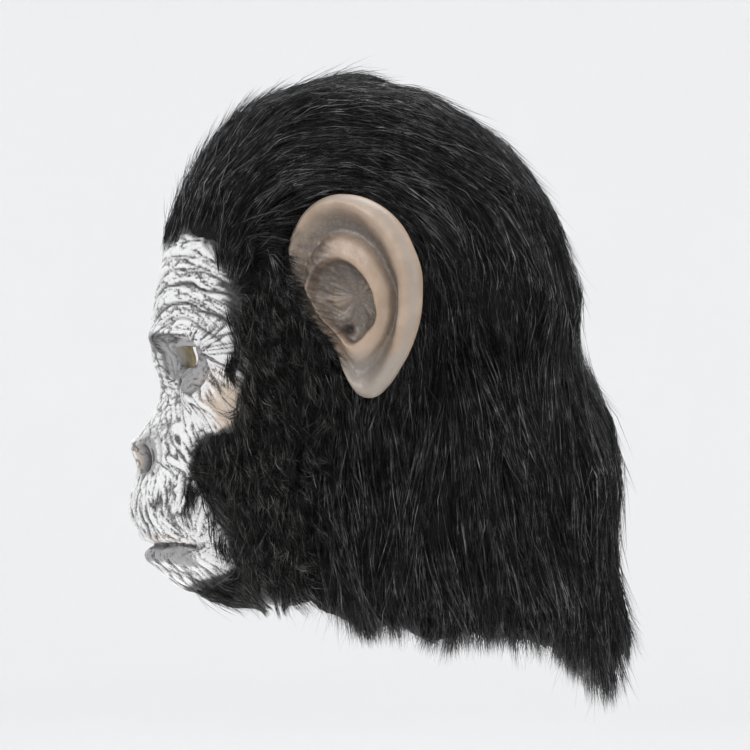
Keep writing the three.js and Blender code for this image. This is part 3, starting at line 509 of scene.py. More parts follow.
# Share of white brushed on, and where.
brushing = [
    (0.80, forehead), (0.70, crow), (0.72, cheek), (0.62, nose), (0.55, bridge), (0.62, lip),
    (2.1, fan), (0.6, lower), (0.5, chin),
]
white = sum(share * part for share, part in brushing) / weight_sum
behind_line = hair_depth(smooth_skin) + 4 * noise(smooth_skin, 7, 41)
behind_line = behind_line + 4 * (0.6 - crest) + 1.5 * noise(smooth_skin, 2.5, 42)
grey_zone = np.clip(bag + lid_zone + wing + lip_low + (1 - smoothstep(ring_grid, 1.1, 1.5)), 0, 1)
smooth_temple = bell(along_eye - 14, 5) * bell(over_eye - 22, 13)
white = np.clip(white + 0.8 * smooth_temple, 0, 1) * (1 - 0.94 * grey_zone)
chalk_spot = bell(Z + 268, 2.2) * bell(X - 16, 8) * 0.9
white = np.clip(white - 0.5 * crease + chalk_spot, 0, 1)
warm = np.clip(patch(66, -178, 15, 26, 0.5) * 0.95 + 0.75 * lip_edge + 0.8 * nose_rim, 0, 1)
white = white * (1 - 0.7 * patch(68, -180, 13, 22, 0.4))
# Painted shade in the nostril slits, the mouth line, the grooves round the nose wings, bags and lids and
# the brow creases, together with the black paint behind the hairline.
dark = slit * 1.5 + mouth_line * 0.8 + (wing_edge + bag_edge + lid_edge) * 0.45 + 0.8 * crease
dark = np.clip(np.maximum(dark, 0.96 * smoothstep(behind_line, -1, 6)), 0, 1)
print("Painted white over", round(float(np.mean(white > 0.5)), 2), "of the grid")

# %% [markdown]
# ## One closed casting
# The outside and inside grids are joined along the neck rim and round both eye holes, so the wall is a
# closed body of real thickness, as latex is.

# %% Mesh of the casting
def cell_faces(columns, rows, first, outwards):
    """Quads of a grid that closes on itself, as corner numbers counted from first."""
    i, k = np.meshgrid(np.arange(columns), np.arange(rows - 1), indexing="ij")
    right = (i + 1) % columns
    quad = np.stack([i * rows + k, i * rows + k + 1, right * rows + k + 1, right * rows + k], -1)
    return (quad if outwards else quad[..., ::-1]) + first


def stitch(fine, coarse):
    """Three triangles for each coarse edge between two matching loops, of which fine has two points
    for each point of coarse."""
    a, b, c = fine[0:-1:2], fine[1::2], fine[2::2]
    p, q = coarse[:-1], coarse[1:]
    return np.concatenate([np.stack(t, -1) for t in ((a, b, p), (b, q, p), (b, c, q))])


def block_loop(columns, rows, first, count, share):
    """Numbers of the grid points round an eye block, in order, closed."""
    (a, b), (top, bottom) = [[v // share for v in pair] for pair in (columns, rows)]
    top_edge = np.arange(a, b) * count + top
    right_edge = b * count + np.arange(top, bottom)
    bottom_edge = np.arange(b, a, -1) * count + bottom
    left_edge = a * count + np.arange(bottom, top, -1)
    loop = np.concatenate([top_edge, right_edge, bottom_edge, left_edge])
    return np.append(loop, loop[0]) + first


columns, rows = turn_grid.shape
soft_skin = head_skin(turn_grid[::2, ::2], level_grid[::2, ::2], True)
inner = soft_skin - grid_normals(soft_skin) * WALL
inner[:, -1] = outer[::2, -1] + (inner[:, -1] - outer[::2, -1]) * np.array([1, 1, 0])
points = np.concatenate([
    outer.reshape(-1, 3),
    inner.reshape(-1, 3),
    [(0, EAR_LINE, WALL), (0, EAR_LINE, 0)],
])
inner_first = columns * rows
crown_points = len(points) - 2
outer_cells = cell_faces(columns, rows, 0, True)
half_rows = (rows + 1) // 2
inner_cells = cell_faces(columns // 2, half_rows, inner_first, False)
keep_outer = np.ones(outer_cells.shape[:2], bool)
keep_inner = np.ones(inner_cells.shape[:2], bool)
seams = []
for side in (1, -1):
    block = eye_block(side)
    (a, b), (top, bottom) = block
    keep_outer[a:b, top:bottom] = False
    keep_inner[a // 2:b // 2, top // 2:bottom // 2] = False
    fine = block_loop(*block, 0, rows, 1)
    coarse = block_loop(*block, inner_first, half_rows, 2)
    seams.append(stitch(fine, coarse)[:, ::-1])
rim_fine = np.append(np.arange(columns), 0) * rows + rows - 1
rim_coarse = np.append(np.arange(columns // 2), 0) * half_rows + half_rows - 1 + inner_first
seams.append(stitch(rim_fine, rim_coarse)[:, ::-1])
top_outer = np.append(np.arange(columns), 0) * rows
top_inner = np.append(np.arange(columns // 2), 0) * half_rows + inner_first
cap_outer = np.stack([np.full(columns, crown_points), top_outer[:-1], top_outer[1:]], -1)
cap_inner = np.stack([np.full(columns // 2, crown_points + 1), top_inner[1:], top_inner[:-1]], -1)


def new_piece(name, points, face_groups, attributes=None):
    """A mesh object in metres from points in millimetres and groups of triangles or quads. Each
    attribute is one number per point."""
    mesh = bpy.data.meshes.new(name)
    corners = np.concatenate([group.reshape(-1) for group in face_groups])
    sizes = np.concatenate([
        np.full(group.size // group.shape[-1], group.shape[-1]) for group in face_groups
    ])
    mesh.vertices.add(len(points))
    mesh.vertices.foreach_set("co", (np.asarray(points) * MM).astype(np.float32).reshape(-1))
    mesh.loops.add(len(corners))
    mesh.loops.foreach_set("vertex_index", corners.astype(np.int32))
    mesh.polygons.add(len(sizes))
    starts = np.concatenate([[0], np.cumsum(sizes)[:-1]])
    mesh.polygons.foreach_set("loop_start", starts.astype(np.int32))
    mesh.polygons.foreach_set("use_smooth", np.ones(len(sizes), bool))
    mesh.update(calc_edges=True)
    for label, values in (attributes or {}).items():
        layer = mesh.attributes.new(label, "FLOAT", "POINT")
        layer.data.foreach_set("value", np.asarray(values, np.float32).reshape(-1))
    piece = bpy.data.objects.new(name, mesh)
    bpy.context.scene.collection.objects.link(piece)
    triangles = int(np.sum(sizes - 2))
    print(f"{name}: {len(points)} points, {triangles} triangles")
    return piece


def on_both(outer_values, inner_value):
    """Numbers for the outside grid, then one number for the inside and the two crown points."""
    rest = np.full(len(points) - outer_values.size, float(inner_value))
    return np.concatenate([outer_values.reshape(-1), rest])


# Painted shadow on the wall's inside next to each eye hole.
rim_shade = 0.9 * (1 - smoothstep(ring_grid[::2, ::2], 1.0, 1.5))
skin = new_piece(
    "latex_skin",
    points,
    [outer_cells[keep_outer], inner_cells[keep_inner], cap_outer, cap_inner, *seams],
    {
        "crest": on_both(crest, 0.5),
        "white": on_both(white, 0),
        "warm": on_both(warm, 0),
        "dark": np.concatenate([dark.reshape(-1), rim_shade.reshape(-1), [0, 0]]),
        "inside": on_both(0 * crest, 1),
    },
)


def volume(piece):
    """Signed volume in cubic centimetres: the sum over triangles of a . (b x c) / 6."""
    mesh = piece.data
    mesh.calc_loop_triangles()
    corner = np.zeros(len(mesh.loop_triangles) * 3, np.int32)
    mesh.loop_triangles.foreach_get("vertices", corner)
    place = np.zeros(len(mesh.vertices) * 3, np.float32)
    mesh.vertices.foreach_get("co", place)
    a, b, c = place.reshape(-1, 3)[corner.reshape(-1, 3)].transpose(1, 0, 2).astype(float)
    return float(np.sum(a * np.cross(b, c)) / 6 * 1e6)


print("Latex in the casting:", round(volume(skin)), "cubic centimetres")

# %% [markdown]
# ## Material helpers
# Materials here are small node trees. A helper adds a node and wires its inputs, and a colour ramp
# between two or three colours turns a number into paint.

# %% Node helpers
def add_node(tree, kind, inputs=None, **settings):
    """A node with its settings, whose inputs are numbers, colours or other nodes' outputs."""
    node = tree.nodes.new(kind)
    for name, value in settings.items():
        setattr(node, name, value)
    for name, value in (inputs or {}).items():
        socket = node.inputs[name]
        if isinstance(value, bpy.types.NodeSocket):
            tree.links.new(value, socket)
        else:
            socket.default_value = value
    return node


def maths(tree, operation, first, second=0.0, clamp=False):
    """One arithmetic step on two numbers or outputs."""
    node = add_node(tree, "ShaderNodeMath", {0: first, 1: second}, operation=operation, use_clamp=clamp)
    return node.outputs[0]


def blend(tree, share, first, second):
    """A mix of two colours by a share."""
    node = tree.nodes.new("ShaderNodeMix")
    node.data_type = "RGBA"
    sockets = [node.inputs[0], node.inputs[6], node.inputs[7]]
    for socket, value in zip(sockets, (share, first, second)):
        if isinstance(value, bpy.types.NodeSocket):
            tree.links.new(value, socket)
        else:
            socket.default_value = value
    return node.outputs[2]


def read_number(tree, label):
    """The attribute of that name, kept on the mesh."""
    return add_node(tree, "ShaderNodeAttribute", attribute_name=label).outputs["Fac"]


def ramp(tree, value, low, high):
    """A value spread from 0 at low to 1 at high, smoothly."""
    node = add_node(
        tree, "ShaderNodeMapRange",
        {"Value": value, "From Min": low, "From Max": high},
        interpolation_type="SMOOTHSTEP",
    )
    return node.outputs[0]


def new_material(name, roughness, specular=0.5):
    """A material with its node tree, surface shader and Object coordinates."""
    material = bpy.data.materials.new(name)
    material.use_nodes = True
    tree = material.node_tree
    surface = tree.nodes["Principled BSDF"]
    surface.inputs["Roughness"].default_value = roughness
    surface.inputs["Specular IOR Level"].default_value = specular
    place = add_node(tree, "ShaderNodeTexCoord").outputs["Object"]
    return material, tree, surface, place


def group_of(name, numbers):
    """An empty node group with a vector input, named number inputs and a Value output."""
    group = bpy.data.node_groups.new(name, "ShaderNodeTree")
    group.interface.new_socket("Place", in_out="INPUT", socket_type="NodeSocketVector")
    for label, value in numbers.items():
        socket = group.interface.new_socket(label, in_out="INPUT", socket_type="NodeSocketFloat")
        socket.default_value = value
    group.interface.new_socket("Value", in_out="OUTPUT", socket_type="NodeSocketFloat")
    start = group.nodes.new("NodeGroupInput")
    end = group.nodes.new("NodeGroupOutput")
    return group, start.outputs, end.inputs


# %% [markdown]
# ## Crackled latex
# Close up, the cast skin has short cracks across its wrinkles. The group makes them from the distance to
# the edges of small irregular cells, softened by noise, and every latex finish uses it at its own size.

# %% Crackle group
crackle, crackle_in, crackle_out = group_of("crackle", {"Scale": 420.0, "Detail": 1300.0})
bend_noise = add_node(
    crackle, "ShaderNodeTexNoise",
    {"Vector": crackle_in["Place"], "Scale": 160.0, "Detail": 2.0},
)
bend = add_node(
    crackle, "ShaderNodeVectorMath",
    {0: bend_noise.outputs["Color"], 1: (0.004, 0.004, 0.004)},
    operation="MULTIPLY",
)
bent = add_node(
    crackle, "ShaderNodeVectorMath", {0: crackle_in["Place"], 1: bend.outputs[0]}, operation="ADD"
)
cells = add_node(
    crackle, "ShaderNodeTexVoronoi",
    {"Vector": bent.outputs[0], "Scale": crackle_in["Scale"]},
    feature="DISTANCE_TO_EDGE",
)
edges = ramp(crackle, cells.outputs["Distance"], 0.0, 0.16)
grain = add_node(
    crackle, "ShaderNodeTexNoise",
    {"Vector": crackle_in["Place"], "Scale": crackle_in["Detail"], "Detail": 3.0},
)
crackle.links.new(
    maths(crackle, "ADD", maths(crackle, "MULTIPLY", edges, 0.62),
          maths(crackle, "MULTIPLY", grain.outputs["Fac"], 0.38)),
    crackle_out["Value"],
)


def add_crackle(tree, place, scale, detail):
    """The crackle group in a material, with its own sizes."""
    node = tree.nodes.new("ShaderNodeGroup")
    node.node_tree = crackle
    node.inputs["Scale"].default_value = scale
    node.inputs["Detail"].default_value = detail
    tree.links.new(place, node.inputs["Place"])
    return node.outputs["Value"]


def add_bump(tree, surface, height, strength, distance):
    """Bump from a height, in metres, into the surface's normal."""
    node = add_node(
        tree, "ShaderNodeBump", {"Height": height, "Strength": strength, "Distance": distance}
    )
    tree.links.new(node.outputs["Normal"], surface.inputs["Normal"])


# %% Painted face latex
GREY = (0.25, 0.245, 0.247, 1)
# Near black for the painted shade in creases, slits and the ear canal, and for the black paint behind the
# hairline.
SHADE_AND_PAINT_BLACK = (0.012, 0.011, 0.012, 1)
CHALK = (0.64, 0.64, 0.637, 1)
BEIGE = (0.47, 0.375, 0.29, 1)
CREAM = (0.82, 0.76, 0.60, 1)

# Crest values for the painted shade between the wrinkles and for the white brushing on the ridges.
CREASE_SHADE_EDGE, CHALK_EDGE = (0.16, 0.72), (0.84, 1.32)

face_paint, tree, surface, place = new_material("painted_latex", 0.52)
cracks = add_crackle(tree, place, 430.0, 1500.0)
# Painted shade: low between the wrinkles and along the cracks the latex goes to near black, and on the
# ridges to grey.
height = maths(tree, "ADD", read_number(tree, "crest"), maths(tree, "MULTIPLY", cracks, 0.30))
deep = ramp(tree, height, *CREASE_SHADE_EDGE)
ground = blend(tree, deep, SHADE_AND_PAINT_BLACK, GREY)
ground = blend(tree, maths(tree, "MULTIPLY", read_number(tree, "warm"), deep), ground, BEIGE)
brushed = maths(tree, "ADD", height, maths(tree, "MULTIPLY", read_number(tree, "white"), 0.55))
brushed = ramp(tree, brushed, *CHALK_EDGE)
brushed = maths(tree, "MULTIPLY", brushed, ramp(tree, read_number(tree, "white"), 0.05, 0.5))
colour = blend(tree, brushed, ground, CHALK)
# Painted shade from the dark number in creases, slits and grooves and inside the eye holes, and the black
# paint behind the hairline.
colour = blend(tree, read_number(tree, "dark"), colour, SHADE_AND_PAINT_BLACK)
colour = blend(tree, read_number(tree, "inside"), colour, CREAM)
tree.links.new(colour, surface.inputs["Base Color"])
tree.links.new(
    maths(tree, "ADD", 0.42, maths(tree, "MULTIPLY", brushed, 0.2)), surface.inputs["Roughness"]
)
add_bump(tree, surface, cracks, 0.6, 0.0006)
skin.data.materials.append(face_paint)
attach(skin, "root")
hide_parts("latex_shell")

# %% [markdown]
# ## Ears
# Each ear is one cast plate with a broad rolled rim, a groove inside it, a second fold and a deep bowl
# with a hole at its bottom. Its outline and folds are tables over the turn round the ear, and its
# section is a table from the bowl out over the rim and round behind.

# %% Ear tables
EAR_HEIGHT, EAR_WIDTH, EAR_STAND_OFF, EAR_LEVEL, EAR_SETBACK = 119, 82, 18, 110, 8
EAR_THICKNESS, EAR_FOLD, CONCHA_DEPTH = 7, 5, 9
EAR_FLARE = math.radians(25)
EAR_OUTLINE = [
    (0, 0.62, 0.28, 0.62, 0.72, 1.0), (20, 0.65, 0.25, 0.58, 0.72, 1.0),
    (40, 0.70, 0.24, 0.56, 0.73, 1.0), (58, 0.79, 0.23, 0.57, 0.75, 1.0),
    (75, 0.88, 0.24, 0.60, 0.79, 1.0), (91, 0.955, 0.28, 0.65, 0.85, 1.0),
    (106, 0.99, 0.34, 0.68, 0.88, 1.0), (121, 0.95, 0.42, 0.70, 0.90, 0.9),
    (138, 0.85, 0.52, 0.74, 0.91, 0.8), (158, 0.70, 0.66, 0.80, 0.92, 0.6),
    (180, 0.58, 0.74, 0.84, 0.93, 0.35), (206, 0.52, 0.76, 0.85, 0.93, 0.2),
    (232, 0.51, 0.76, 0.85, 0.93, 0.2), (252, 0.60, 0.72, 0.84, 0.93, 0.3),
    (263, 0.80, 0.60, 0.80, 0.92, 0.4), (271, 0.96, 0.48, 0.74, 0.90, 0.5),
    (279, 1.00, 0.42, 0.70, 0.88, 0.6), (288, 0.93, 0.40, 0.68, 0.86, 0.7),
    (301, 0.81, 0.42, 0.68, 0.84, 0.8), (320, 0.70, 0.40, 0.66, 0.78, 0.9),
    (340, 0.64, 0.32, 0.64, 0.74, 1.0),
]
lap = EAR_OUTLINE[-2:], EAR_OUTLINE[:2]
wrapped = [(t - 360, *r) for t, *r in lap[0]] + EAR_OUTLINE + [(t + 360, *r) for t, *r in lap[1]]
EAR = make_table("turn radius bowl groove crest fold", wrapped)
PROFILE = make_table("bowl groove crest edge fold depth back", [
    (0.60, 0, 0, 0, 0.0, 1.00, 0), (0.90, 0, 0, 0, 0.0, 0.60, 0), (0.90, 0.1, 0, 0, 0.8, 0.0, 0),
    (0.4, 0.6, 0, 0, 0.4, 0.05, 0), (0, 1, 0, 0, -0.4, 0.1, 0), (0, 0, 1, 0, 0.9, 0, 0),
    (0, 0, 0.4, 0.6, 0.8, 0, 0), (0, 0, 0, 1, 0.3, 0, 0.3), (0, 0, 0, 0.97, 0, 0, 0.9),
    (0, 0, 0, 0.80, 0, 0.1, 1), (0, 0, 0, 0.45, 0, 0.9, 1),
])
across_ear = [r * math.cos(math.radians(t)) for t, r, *rest in EAR_OUTLINE]
EAR_SQUEEZE = EAR_WIDTH / ((max(across_ear) - min(across_ear)) * EAR_HEIGHT / 2)
EAR_MIDDLE = np.array([HALF_WIDTH + EAR_STAND_OFF, EAR_LINE + EAR_SETBACK, WALL - EAR_LEVEL])


# %% Ear surface
def ear_point(u, v, n):
    """The ear's own directions, u to the back edge, v up and n out of the bowl, in the head's frame."""
    return EAR_MIDDLE + np.stack([
        u * math.sin(EAR_FLARE) + n * math.cos(EAR_FLARE),
        u * math.cos(EAR_FLARE) - n * math.sin(EAR_FLARE),
        v,
    ], -1)


def in_ear(points):
    """u, v and n of points of the head's frame, for the left ear."""
    gap = points - EAR_MIDDLE
    u = gap[..., 0] * math.sin(EAR_FLARE) + gap[..., 1] * math.cos(EAR_FLARE)
    n = gap[..., 0] * math.cos(EAR_FLARE) - gap[..., 1] * math.sin(EAR_FLARE)
    return u, gap[..., 2], n


EAR_COLUMNS, EAR_ROWS = 176, 84
ear_turn, ear_row = np.meshgrid(
    np.arange(EAR_COLUMNS) * 360 / EAR_COLUMNS, np.linspace(0, 10, EAR_ROWS), indexing="ij"
)
ear_read = {name: read_table(EAR, "turn", name, ear_turn) for name in EAR if name != "turn"}
row_read = {name: read_table(PROFILE, "row", name, ear_row) for name in PROFILE if name != "row"}
share = row_read["edge"] + sum(row_read[name] * ear_read[name] for name in ("bowl", "groove", "crest"))
out = ear_read["radius"] * share * EAR_HEIGHT / 2
ear_u = out * np.cos(np.radians(ear_turn)) * EAR_SQUEEZE
ear_v = out * np.sin(np.radians(ear_turn))
fold = EAR_FOLD * ear_read["fold"] * row_read["fold"]
ear_n = fold - CONCHA_DEPTH * row_read["depth"] - EAR_THICKNESS * row_read["back"]
front = 1 - smoothstep(row_read["back"], 0.05, 0.4)

ear_place = np.stack([ear_u, ear_v, ear_n], -1)
bowl_part = front * smoothstep(CONCHA_DEPTH * row_read["depth"], 0.5, 4)
ridge_far = np.abs((ear_v + 3.5) + 0.45 * (ear_u + 15)) / 1.1
crus = bell(ridge_far, 3.2) * smoothstep(-ear_u, 2, 12) * (1 - smoothstep(-ear_u, 30, 40))
ear_crest = wrinkle(ear_v + 0.4 * ear_u, ear_u, 3.4, 14, 21)
folds_front = smoothstep(-ear_u, 6, 22) * front * (1 - smoothstep(ear_v, 30, 46))
ear_lift = (
    3.2 * crus * front
    + 1.6 * (ear_crest - 0.6) * np.maximum(bowl_part * 0.7, folds_front)
    + 0.5 * noise(ear_place, 11, 22)
    + 0.25 * noise(ear_place, 5, 23)
)
CANAL_U, CANAL_V, CANAL_DEPTH = -8, -20, 5
canal_far = np.hypot(ear_u - CANAL_U, ear_v - CANAL_V)
ear_lift = ear_lift - CANAL_DEPTH * bell(canal_far, 3.2) * front
ear_outer = ear_point(ear_u, ear_v, ear_n + ear_lift * front)

# %% [markdown]
# The ear's colour is airbrushed: beige on the folds, grey paint in the bowl and paler on the lobe and
# the rim. Painted shade turns the grooves and the front folds brown-grey and deepens the bowl to dark
# grey. These numbers are again kept on the mesh.

# %% Ear meshes
# Painted shade in the groove, the bowl and the folds in front, on top of the bowl's grey paint.
groove_dark = bell(ear_row - 4.1, 0.8) * 0.95 * ear_read["fold"]
bowl_dark = bowl_part * (0.75 + 0.25 * (1 - ear_crest)) * (1 - 0.5 * crus)
front_dark = folds_front * (0.55 + 0.45 * (1 - ear_crest)) * smoothstep(ear_v, -48, -22)
ear_shade_and_grey = np.clip(np.maximum(np.maximum(groove_dark, bowl_dark), front_dark), 0, 1) * front
rim_pale = smoothstep(ear_row, 5.3, 6.4) * front * 0.8
lobe_pale = smoothstep(-ear_v, 28, 42) * (0.5 + 0.5 * front)
ear_pale = np.clip(rim_pale + lobe_pale, 0, 1)
# Painted shade: the canal's hole is painted black.
canal_dark = bell(canal_far, 2.9) * front


def root_points(grow, columns=24):
    """The oval stalk from the ear's back into the head's side, as two rings."""
    turn = np.arange(columns) / columns * 2 * math.pi
    rings = []
    for row, far in enumerate((CONCHA_DEPTH + EAR_THICKNESS * 0.5, CONCHA_DEPTH + EAR_STAND_OFF)):
        swell = 1 + row * 0.12
        u = -EAR_WIDTH * 0.08 + (EAR_WIDTH * 0.24 * swell + grow) * np.cos(turn)
        v = (EAR_HEIGHT * 0.27 * swell + grow) * np.sin(turn)
        rings.append(ear_point(u, v, -far + 0 * u))
    return np.stack(rings, 1)


def closed_grid(grid, flip):
    """Points and faces of a grid that closes on itself, with a pole at either end."""
    columns, rows = grid.shape[:2]
    poles = [grid[:, 0].mean(0), grid[:, -1].mean(0)]
    points = np.concatenate([grid.reshape(-1, 3), poles])
    first = np.append(np.arange(columns), 0) * rows
    last = first + rows - 1
    count = columns * rows
    cap = np.stack([np.full(columns, count), first[:-1], first[1:]], -1)
    base = np.stack([np.full(columns, count + 1), last[1:], last[:-1]], -1)
    faces = [cell_faces(columns, rows, 0, True).reshape(-1, 4), cap, base]
    return points, [face[:, ::-1] if flip else face for face in faces]


def with_poles(values):
    """Numbers of a grid, with the means of its first and last rows for the poles."""
    return np.append(values.reshape(-1), [values[:, 0].mean(), values[:, -1].mean()])


stalk = root_points(0)
ear_numbers = {"shade_and_grey": ear_shade_and_grey, "pale": ear_pale, "canal": canal_dark, "crest": ear_crest}
ears = {}
for name, side in (("left_ear_cast", 1), ("right_ear_cast", -1)):
    mirror = np.array([side, 1, 1])
    plate_points, plate_faces = closed_grid(ear_outer * mirror, side > 0)
    stalk_points, stalk_faces = closed_grid(stalk * mirror, side > 0)
    shifted = [face + len(plate_points) for face in stalk_faces]
    numbers = {
        label: np.concatenate([with_poles(values), np.zeros(len(stalk_points))])
        for label, values in ear_numbers.items()
    }
    both = np.concatenate([plate_points, stalk_points])
    ears[name] = new_piece(name, both, plate_faces + shifted, numbers)
    print(name, "volume:", round(volume(ears[name])), "cubic centimetres")

# %% Ear latex
EAR_BEIGE = (0.24, 0.172, 0.12, 1)
EAR_ROSY = (0.31, 0.23, 0.17, 1)
EAR_PALE = (0.205, 0.184, 0.16, 1)
EAR_GREY = (0.042, 0.038, 0.035, 1)

ear_paint, tree, surface, place = new_material("ear_latex_paint", 0.42)
cracks = add_crackle(tree, place, 300.0, 900.0)
cloud = add_node(tree, "ShaderNodeTexNoise", {"Vector": place, "Scale": 55.0, "Detail": 4.0})
mottle = ramp(tree, cloud.outputs["Fac"], 0.3, 0.7)
base = blend(tree, mottle, EAR_BEIGE, EAR_ROSY)
base = blend(tree, maths(tree, "MULTIPLY", read_number(tree, "pale"), 0.8), base, EAR_PALE)
# Painted shade in the ear's grooves and bowl, darker still in the cracks.
shade_and_grey = maths(tree, "MULTIPLY", read_number(tree, "shade_and_grey"), maths(tree, "ADD", 0.78, maths(
    tree, "MULTIPLY", maths(tree, "SUBTRACT", 1.0, cracks), 0.25)), True)
base = blend(tree, shade_and_grey, base, EAR_GREY)
# Painted shade in the ear canal.
base = blend(tree, read_number(tree, "canal"), base, SHADE_AND_PAINT_BLACK)
tree.links.new(base, surface.inputs["Base Color"])
add_bump(tree, surface, cracks, 0.22, 0.0004)
for name, node in (("left_ear_cast", "left_ear"), ("right_ear_cast", "right_ear")):
    ears[name].data.materials.append(ear_paint)
    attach(ears[name], "root")
    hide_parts(node)

# %% [markdown]
# ## The fur's form
# The fur's outer form is a second skin round the head, with its own table. Near the face the fur is
# short, so the form closes in on the casting there.

# %% Fur skin
FUR_TOP, FUR_HEIGHT, FUR_FRONT_REACH, FUR_BACK_REACH, FUR_HALF_WIDTH = 24, 324, 107, 180, 111
MANE_DROP, SHORT_FUR, SHORT_FROM, SHORT_TO, HEM_ROW = 18, 7, 38, 78, 0.07
FUR = make_table("level front back side", [
    (0.012, 0.20, 0.145, 0.27), (0.034, 0.36, 0.31, 0.47), (0.074, 0.58, 0.495, 0.67),
    (0.117, 0.71, 0.595, 0.79), (0.167, 0.81, 0.655, 0.88), (0.228, 0.905, 0.728, 0.95),
    (0.312, 0.985, 0.772, 0.99), (0.414, 0.985, 0.811, 1.00), (0.537, 0.94, 0.867, 0.975),
    (0.673, 0.90, 0.928, 0.955), (0.784, 0.87, 0.961, 0.955), (0.880, 0.85, 0.94, 0.955),
    (0.950, 0.85, 0.96, 0.955), (1.000, 0.74, 0.97, 0.935),
])


def fur_skin(turn, row):
    """As the head's skin, from the fur's table. Rows past the hem go straight on down, and near the
    face the form goes over to the casting's skin plus the short fur's thickness."""
    ahead = np.cos(turn)
    past = np.maximum(row - FUR["row"][-1], 0)
    within = np.minimum(row, FUR["row"][-1])
    level = read_table(FUR, "row", "level", within) + past * HEM_ROW
    front = read_table(FUR, "row", "front", within) * FUR_FRONT_REACH
    back = read_table(FUR, "row", "back", within) * FUR_BACK_REACH
    wide = read_table(FUR, "row", "side", within) * FUR_HALF_WIDTH
    drop = MANE_DROP * smoothstep(level, 0.6, 1) * (1 - ahead) / 2
    x = wide * np.sin(turn)
    y = EAR_LINE - np.where(ahead > 0, front, back) * ahead
    z = FUR_TOP - level * FUR_HEIGHT - drop
    beside = np.degrees(np.abs(np.arctan2(np.sin(turn), ahead)))
    short = smoothstep(level, 0.28, 0.4) * (1 - smoothstep(beside, SHORT_FROM, SHORT_TO))
    close = head_skin(turn, np.clip((WALL - z) / HEAD_HEIGHT, 0, 1), True)
    away = np.stack([x - close[..., 0], y - close[..., 1]], -1)
    away = away / np.maximum(np.linalg.norm(away, axis=-1, keepdims=True), 1e-6)
    x = x + (close[..., 0] + away[..., 0] * SHORT_FUR - x) * short
    y = y + (close[..., 1] + away[..., 1] * SHORT_FUR - y) * short
    return np.stack([x, y, z], -1)


# %% [markdown]
# ## A map of the fur's surface
# Strands wander over the fur's form, so the script needs to know how far any point lies from it. A map
# by direction from the middle of the head does this: for each compass direction and elevation it keeps
# the distance to the surface, and reading it for thousands of points is quick.

# %% Radius map
HEART = np.array([0.0, 8.0, -140.0])
MAP_STEP = 2.0
MAP_COLUMNS, MAP_ROWS = int(360 / MAP_STEP), int(180 / MAP_STEP)


def directions(points):
    """Compass direction and elevation from the heart, as places in the map, and the distance."""
    gap = points - HEART
    far = np.linalg.norm(gap, axis=-1)
    compass = np.degrees(np.arctan2(gap[..., 0], -gap[..., 1])) % 360
    elevation = np.degrees(np.arcsin(np.clip(gap[..., 2] / np.maximum(far, 1e-6), -1, 1))) + 90
    return compass / MAP_STEP, elevation / MAP_STEP, far


FILL_ROUNDS, SMOOTH_ROUNDS = 60, 3


def beside_and_over(cells):
    """The sum of each cell's four neighbours. Columns close on themselves and rows end."""
    padded = np.pad(cells, ((0, 0), (1, 1)), "edge")
    return np.roll(cells, -1, 0) + np.roll(cells, 1, 0) + padded[:, 2:] + padded[:, :-2]


def build_map(points):
    """The mean distance of the points in each cell of the map. Empty cells take their neighbours'
    mean, and three rounds of smoothing hide the cells."""
    column, row, far = directions(points.reshape(-1, 3))
    cell = (column.astype(int) % MAP_COLUMNS) * MAP_ROWS + np.minimum(row.astype(int), MAP_ROWS - 1)
    size = MAP_COLUMNS * MAP_ROWS
    count = np.bincount(cell, minlength=size).reshape(MAP_COLUMNS, MAP_ROWS).astype(float)
    total = np.bincount(cell, weights=far, minlength=size).reshape(MAP_COLUMNS, MAP_ROWS)
    for _ in range(FILL_ROUNDS):
        known = count > 0
        ring_total = beside_and_over(np.where(known, total / np.maximum(count, 1), 0))
        ring_known = beside_and_over(known * 1.0)
        fill = ~known & (ring_known > 0)
        total = np.where(fill, ring_total / np.maximum(ring_known, 1), total)
        count = np.where(fill, 1, count)
    radius = total / count
    for _ in range(SMOOTH_ROUNDS):
        radius = (2 * radius + beside_and_over(radius)) / 6
    return radius


def read_map(radius, points):
    """Distance of the surface in each point's direction, from the four nearest cells, and the
    point's own distance."""
    column, row, far = directions(points)
    column, row = column - 0.5, np.clip(row - 0.5, 0, MAP_ROWS - 1.001)
    c, r = np.floor(column).astype(int), np.floor(row).astype(int)
    s, t = column - c, row - r
    left, right = c % MAP_COLUMNS, (c + 1) % MAP_COLUMNS
    below = radius[left, r] * (1 - s) + radius[right, r] * s
    above = radius[left, r + 1] * (1 - s) + radius[right, r + 1] * s
    return below * (1 - t) + above * t, far


map_turns, map_rows = np.meshgrid(
    np.radians(np.arange(0, 360, 0.5)), np.linspace(0, FUR["row"][-1] + 2.5, 500), indexing="ij"
)
form_map = build_map(fur_skin(map_turns, map_rows))
skin_map = build_map(smooth_skin)
compass, elevation = np.meshgrid(
    np.radians((np.arange(MAP_COLUMNS) + 0.5) * MAP_STEP),
    np.radians((np.arange(MAP_ROWS) + 0.5) * MAP_STEP - 90),
    indexing="ij",
)
map_y = HEART[1] - form_map * np.cos(elevation) * np.cos(compass)
map_z = HEART[2] + form_map * np.sin(elevation)
# Depth, height and half height of the places where the long fur lies closer behind.
HOLLOWS = ((10, -5, 38), (6, -70, 30), (17, -146, 26), (9, -265, 45))
PILE = 2.5
hollow = sum(deep * bell(map_z - middle, wide) for deep, middle, wide in HOLLOWS)
fur_map = np.maximum(form_map - hollow * smoothstep(map_y, 15, 85), skin_map + PILE)
print("Fur map:", fur_map.shape, "from", round(fur_map.min()), "to", round(fur_map.max()), "mm")


def height_over(points):
    """How far points stand out of the fur's form."""
    radius, far = read_map(fur_map, points)
    return far - radius


NORMAL_STEP = 3


